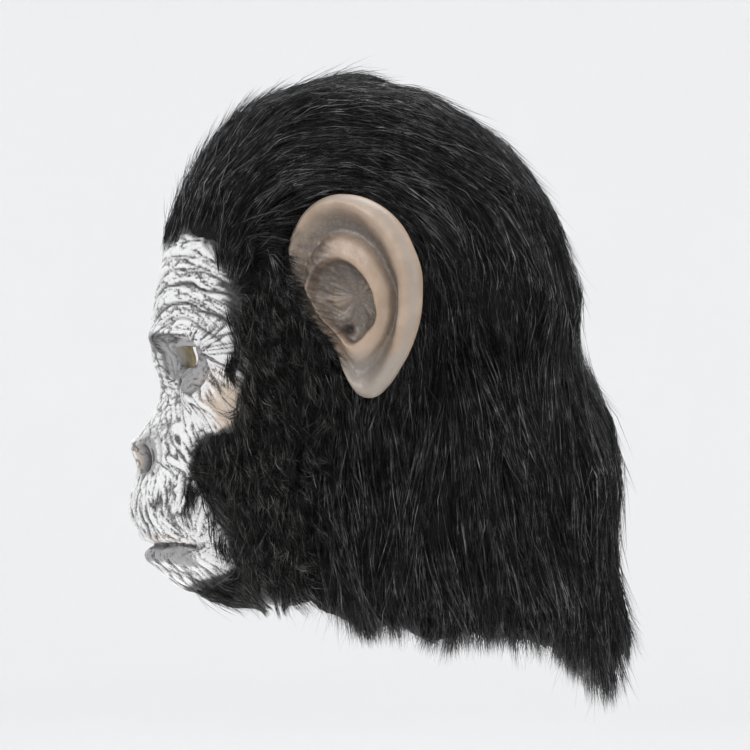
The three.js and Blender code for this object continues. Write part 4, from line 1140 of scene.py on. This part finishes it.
def map_normal(points):
    """Outward direction of the fur's form: differences of the height over short steps."""
    slope = np.stack([
        height_over(points + axis) - height_over(points - axis) for axis in np.eye(3) * NORMAL_STEP
    ], -1)
    return slope / np.maximum(np.linalg.norm(slope, axis=-1, keepdims=True), 1e-9)


# %% [markdown]
# ## Panels of fur
# The fur is sewn from panels: the crown, the mane behind a seam, a cheek on either side and the beard.
# The same seams as in the CAD part say which panel a root belongs to, seen from the side.

# %% Panels
# Each seam is a pair of lists, levels or places ahead, and where the seam is there.
CROWN_SEAM = [-0.035, 0.285], [-0.30, -0.50]
LOW_SEAM = [-0.50, 0.10, 0.40, 1.80], [0.285, 0.285, 0.300, 0.345]
CHEEK_SEAM = [0.285, 0.60, 0.925], [0.10, 0.02, 0.22]
BEARD_LEVEL = 0.925


def ahead_of(points):
    """Distance ahead of the ear line as a share of the front reach, and level down the head."""
    return (EAR_LINE - points[..., 1]) / FRONT_REACH, (WALL - points[..., 2]) / HEAD_HEIGHT


def panel_of(points):
    """0 for the bare face or the ear, 1 crown, 2 mane, 3 cheek and 4 beard."""
    ahead, level = ahead_of(points + 7 * noise(points, 4, 44)[..., None])
    seam = np.interp(level, *CROWN_SEAM)
    low_seam = np.interp(ahead, *LOW_SEAM)
    cheek_seam = np.interp(level, *CHEEK_SEAM)
    above = level < low_seam
    panel = np.where(above, np.where(ahead > seam, 1, 2), np.where(ahead > cheek_seam, 3, 2))
    panel = np.where((panel == 3) & (level > BEARD_LEVEL), 4, panel)
    bare = hair_depth(points) + 4 * noise(points, 5, 43) < -1.5
    return np.where(bare, 0, panel)


# %% [markdown]
# ## Combing
# The maker combs the fur back over the crown and lets it fall at the nape. The direction at a point is a
# mix of a sweep round the head's middle, seen from the side, and straight down. Under the chin the fur
# is brushed back along the jaw.

# %% Combing direction
SWEEP_Y, SWEEP_Z = 5, -135


def comb(points):
    """The sweep is the side view's tangent round the middle, front over top to back. It gives way to
    the fall lower down, and cheek fur falls slantwise."""
    y, z = points[..., 1] - SWEEP_Y, points[..., 2] - SWEEP_Z
    far = np.maximum(np.hypot(y, z), 1)
    sweep = np.stack([0 * y, z / far, -y / far], -1)
    slant = 0.06 + 0.5 * smoothstep(-points[..., 1], 5, 60) * smoothstep(-points[..., 2], 60, 110)
    slant = slant + 0.7 * smoothstep(-points[..., 1], 65, 95)
    fall = np.stack([0 * y, slant, -1 + 0 * y], -1)
    ahead = smoothstep(-points[..., 1], 45, 85)
    share = smoothstep(points[..., 2] + 42 * ahead, -100, -45)[..., None]
    way = sweep * share + fall * (1 - share)
    jaw = np.stack([0 * y, 1 + 0 * y, -0.35 + 0 * y], -1)
    share = smoothstep(-points[..., 2], 258, 282) * smoothstep(-points[..., 1], 35, 70)
    way = way * (1 - share[..., None]) + jaw * share[..., None]
    return way / np.linalg.norm(way, axis=-1, keepdims=True)


EAR_GAP = 2.0


def clear_ear(points):
    """Points in front of the ear's back, inside its outline, are moved behind it."""
    side = np.where(points[..., :1] < 0, -1.0, 1.0)
    mirror = np.concatenate([side, np.ones_like(side), np.ones_like(side)], -1)
    flipped = points * mirror
    u, v, n = in_ear(flipped)
    turn = np.degrees(np.arctan2(v, u / EAR_SQUEEZE)) % 360
    edge = read_table(EAR, "turn", "radius", turn) * EAR_HEIGHT / 2 + EAR_GAP
    share = np.hypot(u / EAR_SQUEEZE, v) / edge
    limit = -(EAR_THICKNESS + EAR_GAP + CONCHA_DEPTH * 0.9 * smoothstep(1 - share, 0.1, 0.5))
    excess = np.where(share < 1, np.maximum(n - limit, 0), 0)
    shift = np.array([math.cos(EAR_FLARE), -math.sin(EAR_FLARE), 0])
    return (flipped - excess[..., None] * shift) * mirror


# %% [markdown]
# ## Strands
# Fake fur stands in clumps. A guide line is walked over the fur's form for each clump, and a dozen
# strands follow it, drawn together towards the tip. A strand is a closed three-sided spike: a root
# point, one or two rings of three points and a tip, which is 6 or 12 triangles.

# %% Guides
GUIDE_STEPS = 12
SHORTEST_GUIDE = 0.35
TURN_STEP, ROW_STEP, LAST_ROW = 1.5, 0.08, 13


def pick_roots(count, wanted, random, hem_gap):
    """Random roots on the fur's form in one panel: grid cells are drawn by their area. Roots keep
    the gap over the hem, and stand closer just above it, so that the hem is as dense as the rest."""
    turn, row = np.meshgrid(
        np.radians(np.arange(0, 360, TURN_STEP)), np.arange(0, LAST_ROW, ROW_STEP), indexing="ij"
    )
    place = fur_skin(turn, row)
    area = np.linalg.norm(np.cross(np.gradient(place, axis=0), np.gradient(place, axis=1)), axis=-1)
    over_hem = (place[..., 2] - hem_height(place)) / max(hem_gap, 0.1)
    area = area * wanted(place)
    if hem_gap:
        area = area * smoothstep(over_hem, 0.8, 1.1) * (1 + 1.8 * bell(over_hem - 1.5, 0.6))
    total = np.cumsum(area.reshape(-1))
    cell = np.searchsorted(total, random.random(count) * total[-1])
    cell = np.minimum(cell, len(total) - 1)
    turn = turn.reshape(-1)[cell] + math.radians(TURN_STEP) * (random.random(count) - 0.5)
    row = row.reshape(-1)[cell] + ROW_STEP * (random.random(count) - 0.5)
    return fur_skin(turn, np.maximum(row, 0))


HEM = make_table("y z", [
    (-112, -280), (-96, -288), (-72, -293), (-48, -289), (-36, -284), (-24, -295), (-10, -300),
    (23, -307), (35, -314), (58, -310), (81, -314), (104, -318), (116, -325), (128, -335),
    (140, -345), (150, -326), (164, -318),
])


def hem_height(points):
    """Lowest height of the hem at the points' places from front to back."""
    return read_table(HEM, "y", "z", np.clip(points[..., 1], HEM["y"][0], HEM["y"][-1]))


RISEN, LARGEST_LIFT = 0.2, 6


def walk_guides(roots, length, sunk, raised, tip_height, unruly, random):
    """A path over the fur's form for each root. Each step follows the combing direction with some
    noise, laid flat on the form, and holds the wanted height over it. Gives points, and the two
    directions beside and out of the path."""
    count = len(roots)
    length = length * (0.85 + 0.3 * random.random(count))
    swing = random.normal(size=(count, 3)) * unruly
    place = roots.copy()
    path, beside, outward = [], [], []
    for share in np.arange(GUIDE_STEPS + 1) / GUIDE_STEPS:
        normal = map_normal(place)
        drift = np.stack([noise(place + 300 * k, 36, 60 + k) for k in range(3)], -1)
        curl = np.stack([noise(place + 300 * k, 11, 80 + k) for k in range(3)], -1)
        way = comb(place) + swing + drift * 0.45 + curl * (0.12 + 1.5 * unruly)
        way = way - normal * np.sum(way * normal, -1, keepdims=True)
        way = way / np.maximum(np.linalg.norm(way, axis=-1, keepdims=True), 1e-6)
        tuft = 4.0 * noise(place, 30, 70) + 2.0 * noise(place, 14, 71)
        early = min(share / RISEN, 1)
        late = max(share - RISEN, 0) / (1 - RISEN)
        wanted = sunk + (raised - sunk) * early + (tip_height - raised) * late
        wanted = wanted + tuft * min(share * 3, 1)
        lift = np.clip(wanted - height_over(place), -LARGEST_LIFT, LARGEST_LIFT)
        place = place + normal * lift[:, None]
        held = clear_ear(place)
        path.append(held)
        beside.append(np.cross(normal, way))
        outward.append(normal)
        place = held + way * (length / GUIDE_STEPS)[:, None]
    path = np.stack(path, 1)
    hem = hem_height(path[:, -1]) + 12 * noise(path[:, -1], 15, 77)
    over = np.maximum(hem - path[:, -1, 2], 0)
    fallen = np.maximum(path[:, 0, 2] - path[:, -1, 2], 1)
    kept = np.clip(1 - over / fallen, 0, 1)
    long_enough = kept > SHORTEST_GUIDE
    beside, outward = np.stack(beside, 1), np.stack(outward, 1)
    return path[long_enough], beside[long_enough], outward[long_enough], kept[long_enough]


# %% Strand mesh
CORNER_ANGLES = np.radians([90, 210, 330])
ONE_RING = (0.0, 0.5, 1.0)
TWO_RINGS = (0.0, 0.36, 0.72, 1.0)


def read_path(path, share):
    """A point along each path at its own share of the way."""
    spot = np.clip(share, 0, 1) * GUIDE_STEPS
    low = np.minimum(spot.astype(int), GUIDE_STEPS - 1)
    part = (spot - low)[:, None]
    rows = np.arange(len(path))
    return path[rows, low] * (1 - part) + path[rows, low + 1] * part


FULL_LENGTH = 0.97
SHRINK, TAPER = 0.68, 0.72


def grow_strands(name, guides, stations, per_guide, spread, width, stray, random, held=clear_ear):
    """Strands round each guide. A strand keeps its own offset beside and over the guide, which
    shrinks towards the tip, and a few stray ones lift off. held keeps the points off the ears."""
    path, beside, outward, kept = guides
    owner = np.repeat(np.arange(len(path)), per_guide)
    count = len(owner)
    sideways = random.normal(size=count) * spread
    over = random.normal(size=count) * spread * 0.28
    shortest = np.where(kept[owner] < FULL_LENGTH, 0.92, 0.72)
    reach = (shortest + (1.08 - shortest) * random.random(count)) * kept[owner]
    start = 0.10 * random.random(count)
    wild = random.random(count) < stray
    rise = np.where(wild, 0.5 + 9 * random.random(count) ** 3, 0)
    swerve = np.where(wild, random.normal(size=count) * 10, random.normal(size=count) * 2.2)
    thick = width * (0.7 + 0.6 * random.random(count)) * np.where(wild, 0.65, 1)
    rings = []
    for station in stations:
        share = start + (reach - start) * station
        centre = read_path(path[owner], share)
        side_way = read_path(beside[owner], share)
        out_way = read_path(outward[owner], share)
        shrink = 1 - SHRINK * station
        centre = centre + side_way * (sideways * shrink + swerve * station**2)[:, None]
        centre = centre + out_way * (over * shrink + rise * station**1.5)[:, None]
        centre = held(centre)
        half = thick / 2 * (1.0 if station <= 0.5 else TAPER)
        ring = [
            centre + (side_way * math.cos(a) + out_way * math.sin(a)) * half[:, None]
            for a in CORNER_ANGLES
        ]
        rings.append((centre, ring))
    corners = [corner for centre, ring in rings[1:-1] for corner in ring]
    points = np.stack([rings[0][0], *corners, rings[-1][0]], 1)
    size = points.shape[1]
    root, tip, last = 0, size - 1, size - 4
    pattern = []
    for k in range(3):
        n = (k + 1) % 3
        pattern += [(root, 1 + n, 1 + k), (last + k, last + n, tip)]
        if last > 1:
            pattern += [(1 + k, 1 + n, last + n), (1 + k, last + n, last + k)]
    faces = (np.array(pattern)[None] + np.arange(count)[:, None, None] * size).reshape(-1, 3)
    # Shares of the painted glints: one at random for each strand, scaled by one for each clump.
    lit = 0.7 + 0.3 * random.random(len(path))
    shade = np.repeat(random.random(count) * lit[owner], size)
    along = np.tile(np.concatenate([[0], np.repeat(stations[1:-1], 3), [1.0]]), count)
    piece = new_piece(name, points.reshape(-1, 3), [faces], {"shade": shade, "along": along})
    layer = piece.data.uv_layers.new(name="OFBake")
    cells = int(math.ceil(math.sqrt(count)))
    cell = np.repeat(np.arange(count), size)
    u_in = np.tile([0.5] + [0.2, 0.5, 0.8] * (len(stations) - 2) + [0.5], count)
    u = (cell % cells + u_in) / cells
    v = (cell // cells + 0.12 + 0.76 * along) / cells
    uv = np.stack([u, v], -1)[faces.reshape(-1)]
    layer.data.foreach_set("uv", uv.astype(np.float32).reshape(-1))
    return piece


# %% [markdown]
# ## Fur colour
# The fibre is black acrylic with a soft gloss. A few strands carry painted glints in short stretches,
# grey in the long fur and browner in the short fur, and the tips are slightly paler. The power keeps the
# glinting strands few, so the fur doesn't look like one sheet.

# %% Fur material
FIBRE_BLACK = (0.002, 0.002, 0.0023, 1)
TIP_BLACK = (0.014, 0.013, 0.013, 1)
# How strong and how patchy the painted glints are.
GLEAM_POWER, GLEAM_LEAST, GLEAM_SPAN = 4.0, 0.35, 0.7
fibres = {}
for slot, glint_colour in (("long_fur", (0.39, 0.39, 0.40, 1)), ("short_fur", (0.35, 0.34, 0.32, 1))):
    fibres[slot], tree, surface, place = new_material(slot + "_fibre", 0.30, 0.12)
    # Painted glints in the base colour, broken into short stretches by noise.
    glint = maths(tree, "POWER", read_number(tree, "shade"), GLEAM_POWER)
    gleam = add_node(tree, "ShaderNodeTexNoise", {"Vector": place, "Scale": 150.0, "Detail": 4.0})
    gleam = ramp(tree, gleam.outputs["Fac"], 0.38, 0.68)
    gleam = maths(tree, "ADD", maths(tree, "MULTIPLY", gleam, GLEAM_SPAN), GLEAM_LEAST)
    glint = maths(tree, "MULTIPLY", glint, gleam)
    colour = blend(tree, glint, FIBRE_BLACK, glint_colour)
    paler = maths(tree, "MULTIPLY", read_number(tree, "along"), 0.25)
    colour = blend(tree, paler, colour, TIP_BLACK)
    tree.links.new(colour, surface.inputs["Base Color"])

pile, tree, surface, place = new_material("fur_backing", 0.8, 0.12)
stretch = add_node(tree, "ShaderNodeMapping", {"Vector": place, "Scale": (1.0, 1.0, 0.12)})
streaks = add_node(
    tree, "ShaderNodeTexNoise", {"Vector": stretch.outputs[0], "Scale": 900.0, "Detail": 3.0}
)
tree.links.new(
    blend(tree, streaks.outputs["Fac"], (0.001, 0.001, 0.001, 1), (0.008, 0.008, 0.009, 1)),
    surface.inputs["Base Color"],
)
add_bump(tree, surface, streaks.outputs["Fac"], 0.8, 0.002)

# %% [markdown]
# ## Backing
# Under the strands lies the woven backing with the dense short pile. It is the CAD panel's own form,
# which already has the locks and the hem, remeshed to an even grain and drawn in by 3.5 mm so that the
# strands cover it.

# %% Backing pieces
BACKING_GRAIN = 0.0042
BACKING_SUNK = 3.5
HEM_FRINGE = 9


def backing(name, node):
    """A copy of the node's mesh, remeshed by voxels, with its outer side moved towards the heart, its
    hem raised so that strands hang past it, and its edge thinned where it meets the bare face."""
    source = frame["nodes"][node].data.copy()
    piece = bpy.data.objects.new(name, source)
    bpy.context.scene.collection.objects.link(piece)
    remesh = piece.modifiers.new("even_grain", "REMESH")
    remesh.mode = "VOXEL"
    remesh.voxel_size = BACKING_GRAIN
    remesh.use_smooth_shade = True
    mesh = bpy.data.meshes.new_from_object(piece.evaluated_get(bpy.context.evaluated_depsgraph_get()))
    piece.modifiers.clear()
    piece.data = mesh
    mesh.name = name
    place = np.zeros(len(mesh.vertices) * 3, np.float32)
    mesh.vertices.foreach_get("co", place)
    place = place.reshape(-1, 3).astype(float) / MM
    over = height_over(place)
    gap = place - HEART
    gap = gap / np.linalg.norm(gap, axis=-1, keepdims=True)
    pull = BACKING_SUNK * smoothstep(over, -6, -1) + np.maximum(over, 0) * 0.9
    pull = pull + 1.3 * noise(place * np.array([1, 1, 0.25]), 6, 90) * smoothstep(over, -6, -1)
    place = place - gap * np.maximum(pull, 0)[:, None]
    radius, far = read_map(skin_map, place)
    thick = np.maximum(far - radius + 2.6, 0) * (1 - smoothstep(hair_depth(place), 4, 17))
    place = place - gap * thick[:, None]
    lowest = hem_height(place) + HEM_FRINGE + 4 * noise(place, 8, 91)
    place[:, 2] = np.maximum(place[:, 2], lowest + 0.12 * np.minimum(place[:, 2] - lowest, 0))
    place = clear_ear(place)
    mesh.vertices.foreach_set("co", (place * MM).astype(np.float32).reshape(-1))
    mesh.update()
    mesh.materials.clear()
    mesh.materials.append(pile)
    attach(piece, "root")
    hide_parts(node)
    print(name, "faces:", len(mesh.polygons), "volume:", round(volume(piece)))
    return piece


backing("crown_backing", "crown_fur")
backing("mane_backing", "mane_fur")
backing("left_cheek_backing", "left_cheek_fur")
backing("right_cheek_backing", "right_cheek_fur")
backing("beard_backing", "beard_fur")


# %% Strand pieces
def side_of(points, side):
    """1 on that side of the head, 0 on the other; both sides for 0."""
    return np.ones(points.shape[:-1]) if side == 0 else (points[..., 0] * side > 0) * 1.0


# Name, panel, side, slot, rings, guides, strands to a guide, length, heights of the root, of the strand
# once risen and of its tip, spread, width, how unruly, share of strays, lowest and highest y of the roots
FRONT, BACK, BROW, NAPE = -999, 999, -75, 95
MANE = (14, 78, -4.0, -1.5)
CHEEK = ("short_fur", ONE_RING, 760, 13, 27, -4.0, -0.5, 0.5, 2.4, 0.46, 0.42, 0.2, FRONT, BACK)
STRANDS = [
    ("crown_strands", 1, 0, "long_fur", TWO_RINGS, 1200, 10, 58, -2.5, -1.0, -1.0,
     2.8, 0.52, 0.14, 0.2, BROW, BACK),
    ("brow_strands", 1, 0, "long_fur", TWO_RINGS, 600, 10, 48, -1.5, -0.5, 0.0,
     2.5, 0.54, 0.16, 0.22, FRONT, BROW),
    ("mane_strands_left", 2, 1, "long_fur", ONE_RING, 1050, *MANE, -2.0,
     3.2, 0.56, 0.12, 0.2, FRONT, NAPE),
    ("mane_strands_right", 2, -1, "long_fur", ONE_RING, 1050, *MANE, -2.0,
     3.2, 0.56, 0.12, 0.2, FRONT, NAPE),
    ("mane_strands_back", 2, 0, "long_fur", ONE_RING, 1050, *MANE, -1.0,
     3.2, 0.56, 0.12, 0.2, NAPE, BACK),
    ("left_cheek_strands", 3, 1, *CHEEK),
    ("right_cheek_strands", 3, -1, *CHEEK),
    ("beard_strands", 4, 0, "short_fur", ONE_RING, 640, 13, 36, -5.0, 0.0, 0.5,
     2.8, 0.46, 0.16, 0.1, FRONT, BACK),
]
for number, row in enumerate(STRANDS):
    (name, panel, side, slot, stations, guides, each, length, sunk, raised, tip,
     spread, width, unruly, stray, low, high) = row
    random = np.random.default_rng(100 + number)

    def wanted(points):
        inside_band = (points[..., 1] > low) & (points[..., 1] < high)
        return (panel_of(points) == panel) * side_of(points, side) * inside_band

    roots = pick_roots(guides, wanted, random, 0.42 * length if panel in (2, 3) else 0)
    walked = walk_guides(roots, length, sunk, raised, tip, unruly, random)
    strands = grow_strands(name, walked, stations, each, spread, width, stray, random)
    strands.data.materials.append(fibres[slot])
    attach(strands, "root")
    print(name, "triangles:", len(strands.data.polygons))

# %% [markdown]
# ## Tufts over the ears
# The ears are glued on before the fur, so hairs from the cheek lie over each ear's front edge. Their
# guides are straight lines in the ear's own directions, close over its surface.

# %% Ear tufts
TUFTS = 95
for name, side in (("left_ear_tufts", 1), ("right_ear_tufts", -1)):
    random = np.random.default_rng(300 + side)
    turn = np.radians(random.uniform(148, 252, TUFTS))
    edge = read_table(EAR, "turn", "radius", np.degrees(turn)) * EAR_HEIGHT / 2
    start = np.stack([edge * np.cos(turn) * EAR_SQUEEZE - 4, edge * np.sin(turn), -1 + 0 * turn], -1)
    far = random.uniform(9, 19, TUFTS)
    lean = random.normal(-0.25, 0.35, TUFTS)
    way = np.stack([np.cos(lean), np.sin(lean), 0 * lean], -1) * far[:, None]
    share = np.linspace(0, 1, GUIDE_STEPS + 1)[None, :, None]
    line = start[:, None] + way[:, None] * share
    line[..., 2] += 5.5 * np.sin(share[..., 0] * 2.6)
    line[..., 1] -= 2.5 * share[..., 0] ** 2
    mirror = np.array([side, 1, 1])
    path = ear_point(line[..., 0], line[..., 1], line[..., 2]) * mirror
    beside = ear_point(0 * line[..., 0], 1 + 0 * line[..., 0], 0 * line[..., 0]) - EAR_MIDDLE
    outward = ear_point(0 * line[..., 0], 0 * line[..., 0], 1 + 0 * line[..., 0]) - EAR_MIDDLE
    guides = path, beside * mirror, outward * mirror, np.ones(TUFTS)
    tufts = grow_strands(name, guides, ONE_RING, 9, 2.2, 0.38, 0.2, random, lambda points: points)
    tufts.data.materials.append(fibres["short_fur"])
    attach(tufts, "root")

# %% [markdown]
# ## Studio
# The photograph has a seamless pale background. A round floor that curves up into a wall does the same
# from every side, and large soft lights keep the shadows weak.

# %% Stage and lights
FLOOR_HEIGHT, FLOOR_RADIUS, CURVE, STAGE_HEIGHT = -0.80, 4.5, 2.0, 5.0
bend_angle = np.linspace(0, math.pi / 2, 16)
bowl_radii = np.concatenate([
    [0.4, 2.0], FLOOR_RADIUS + CURVE * np.sin(bend_angle), [FLOOR_RADIUS + CURVE]
])
bowl_heights = np.concatenate([[0, 0], CURVE * (1 - np.cos(bend_angle)), [STAGE_HEIGHT]]) + FLOOR_HEIGHT
bowl_turns = np.linspace(0, 2 * math.pi, 96, endpoint=False)[:, None]
bowl = np.stack([
    bowl_radii * np.cos(bowl_turns),
    bowl_radii * np.sin(bowl_turns),
    bowl_heights + 0 * bowl_turns,
], -1) / MM
around, outwards = bowl.shape[:2]
ends = np.append(np.arange(around), 0) * outwards
centre_faces = np.stack([np.full(around, around * outwards), ends[:-1], ends[1:]], -1)
stage = new_piece(
    "studio_floor",
    np.concatenate([bowl.reshape(-1, 3), [(0, 0, FLOOR_HEIGHT / MM)]]),
    [cell_faces(around, outwards, 0, False).reshape(-1, 4), centre_faces],
)
paper, tree, surface, place = new_material("pale_paper", 0.95, 0.1)
mottling = add_node(tree, "ShaderNodeTexNoise", {"Vector": place, "Scale": 3.0, "Detail": 2.0})
tree.links.new(
    blend(tree, mottling.outputs["Fac"], (0.885, 0.885, 0.89, 1), (0.905, 0.905, 0.91, 1)),
    surface.inputs["Base Color"],
)
stage.data.materials.append(paper)

world = bpy.data.worlds.new("studio_air")
world.use_nodes = True
world.node_tree.nodes["Background"].inputs["Color"].default_value = (0.985, 0.99, 1.0, 1)
world.node_tree.nodes["Background"].inputs["Strength"].default_value = 0.92
bpy.context.scene.world = world


def soft_light(name, place, aim, size, power):
    """A square area light at a place, turned towards an aim."""
    data = bpy.data.lights.new(name, "AREA")
    data.size = size
    data.energy = power
    light = bpy.data.objects.new(name, data)
    bpy.context.scene.collection.objects.link(light)
    light.location = place
    way = np.array(aim) - np.array(place)
    flat = math.hypot(way[0], way[1])
    light.rotation_euler = (math.atan2(flat, -way[2]), 0, math.atan2(way[0], -way[1]) + math.pi)
    light.visible_camera = False
    return light


MIDDLE = (0.0, 0.02, -0.15)
soft_light("key_light", (1.9, -1.5, 1.7), MIDDLE, 1.0, 48)
soft_light("fill_light", (2.0, 1.9, 0.5), MIDDLE, 1.6, 22)
soft_light("top_light", (-0.3, 0.3, 2.0), MIDDLE, 1.4, 40)
soft_light("far_light", (-1.9, -0.8, 0.6), MIDDLE, 1.5, 22)
soft_light("floor_light", (0.0, 0.04, -0.7), MIDDLE, 0.3, 2.5)

# %% Sizes and finish
counts = {}
for piece in bpy.context.scene.objects:
    if piece.type == "MESH" and piece != stage and piece.name not in frame["nodes"]:
        corners = np.zeros(len(piece.data.polygons), np.int32)
        piece.data.polygons.foreach_get("loop_total", corners)
        counts[piece.name] = int(np.sum(corners - 2))
print("Triangles:", counts)
print("Triangles in all:", sum(counts.values()))
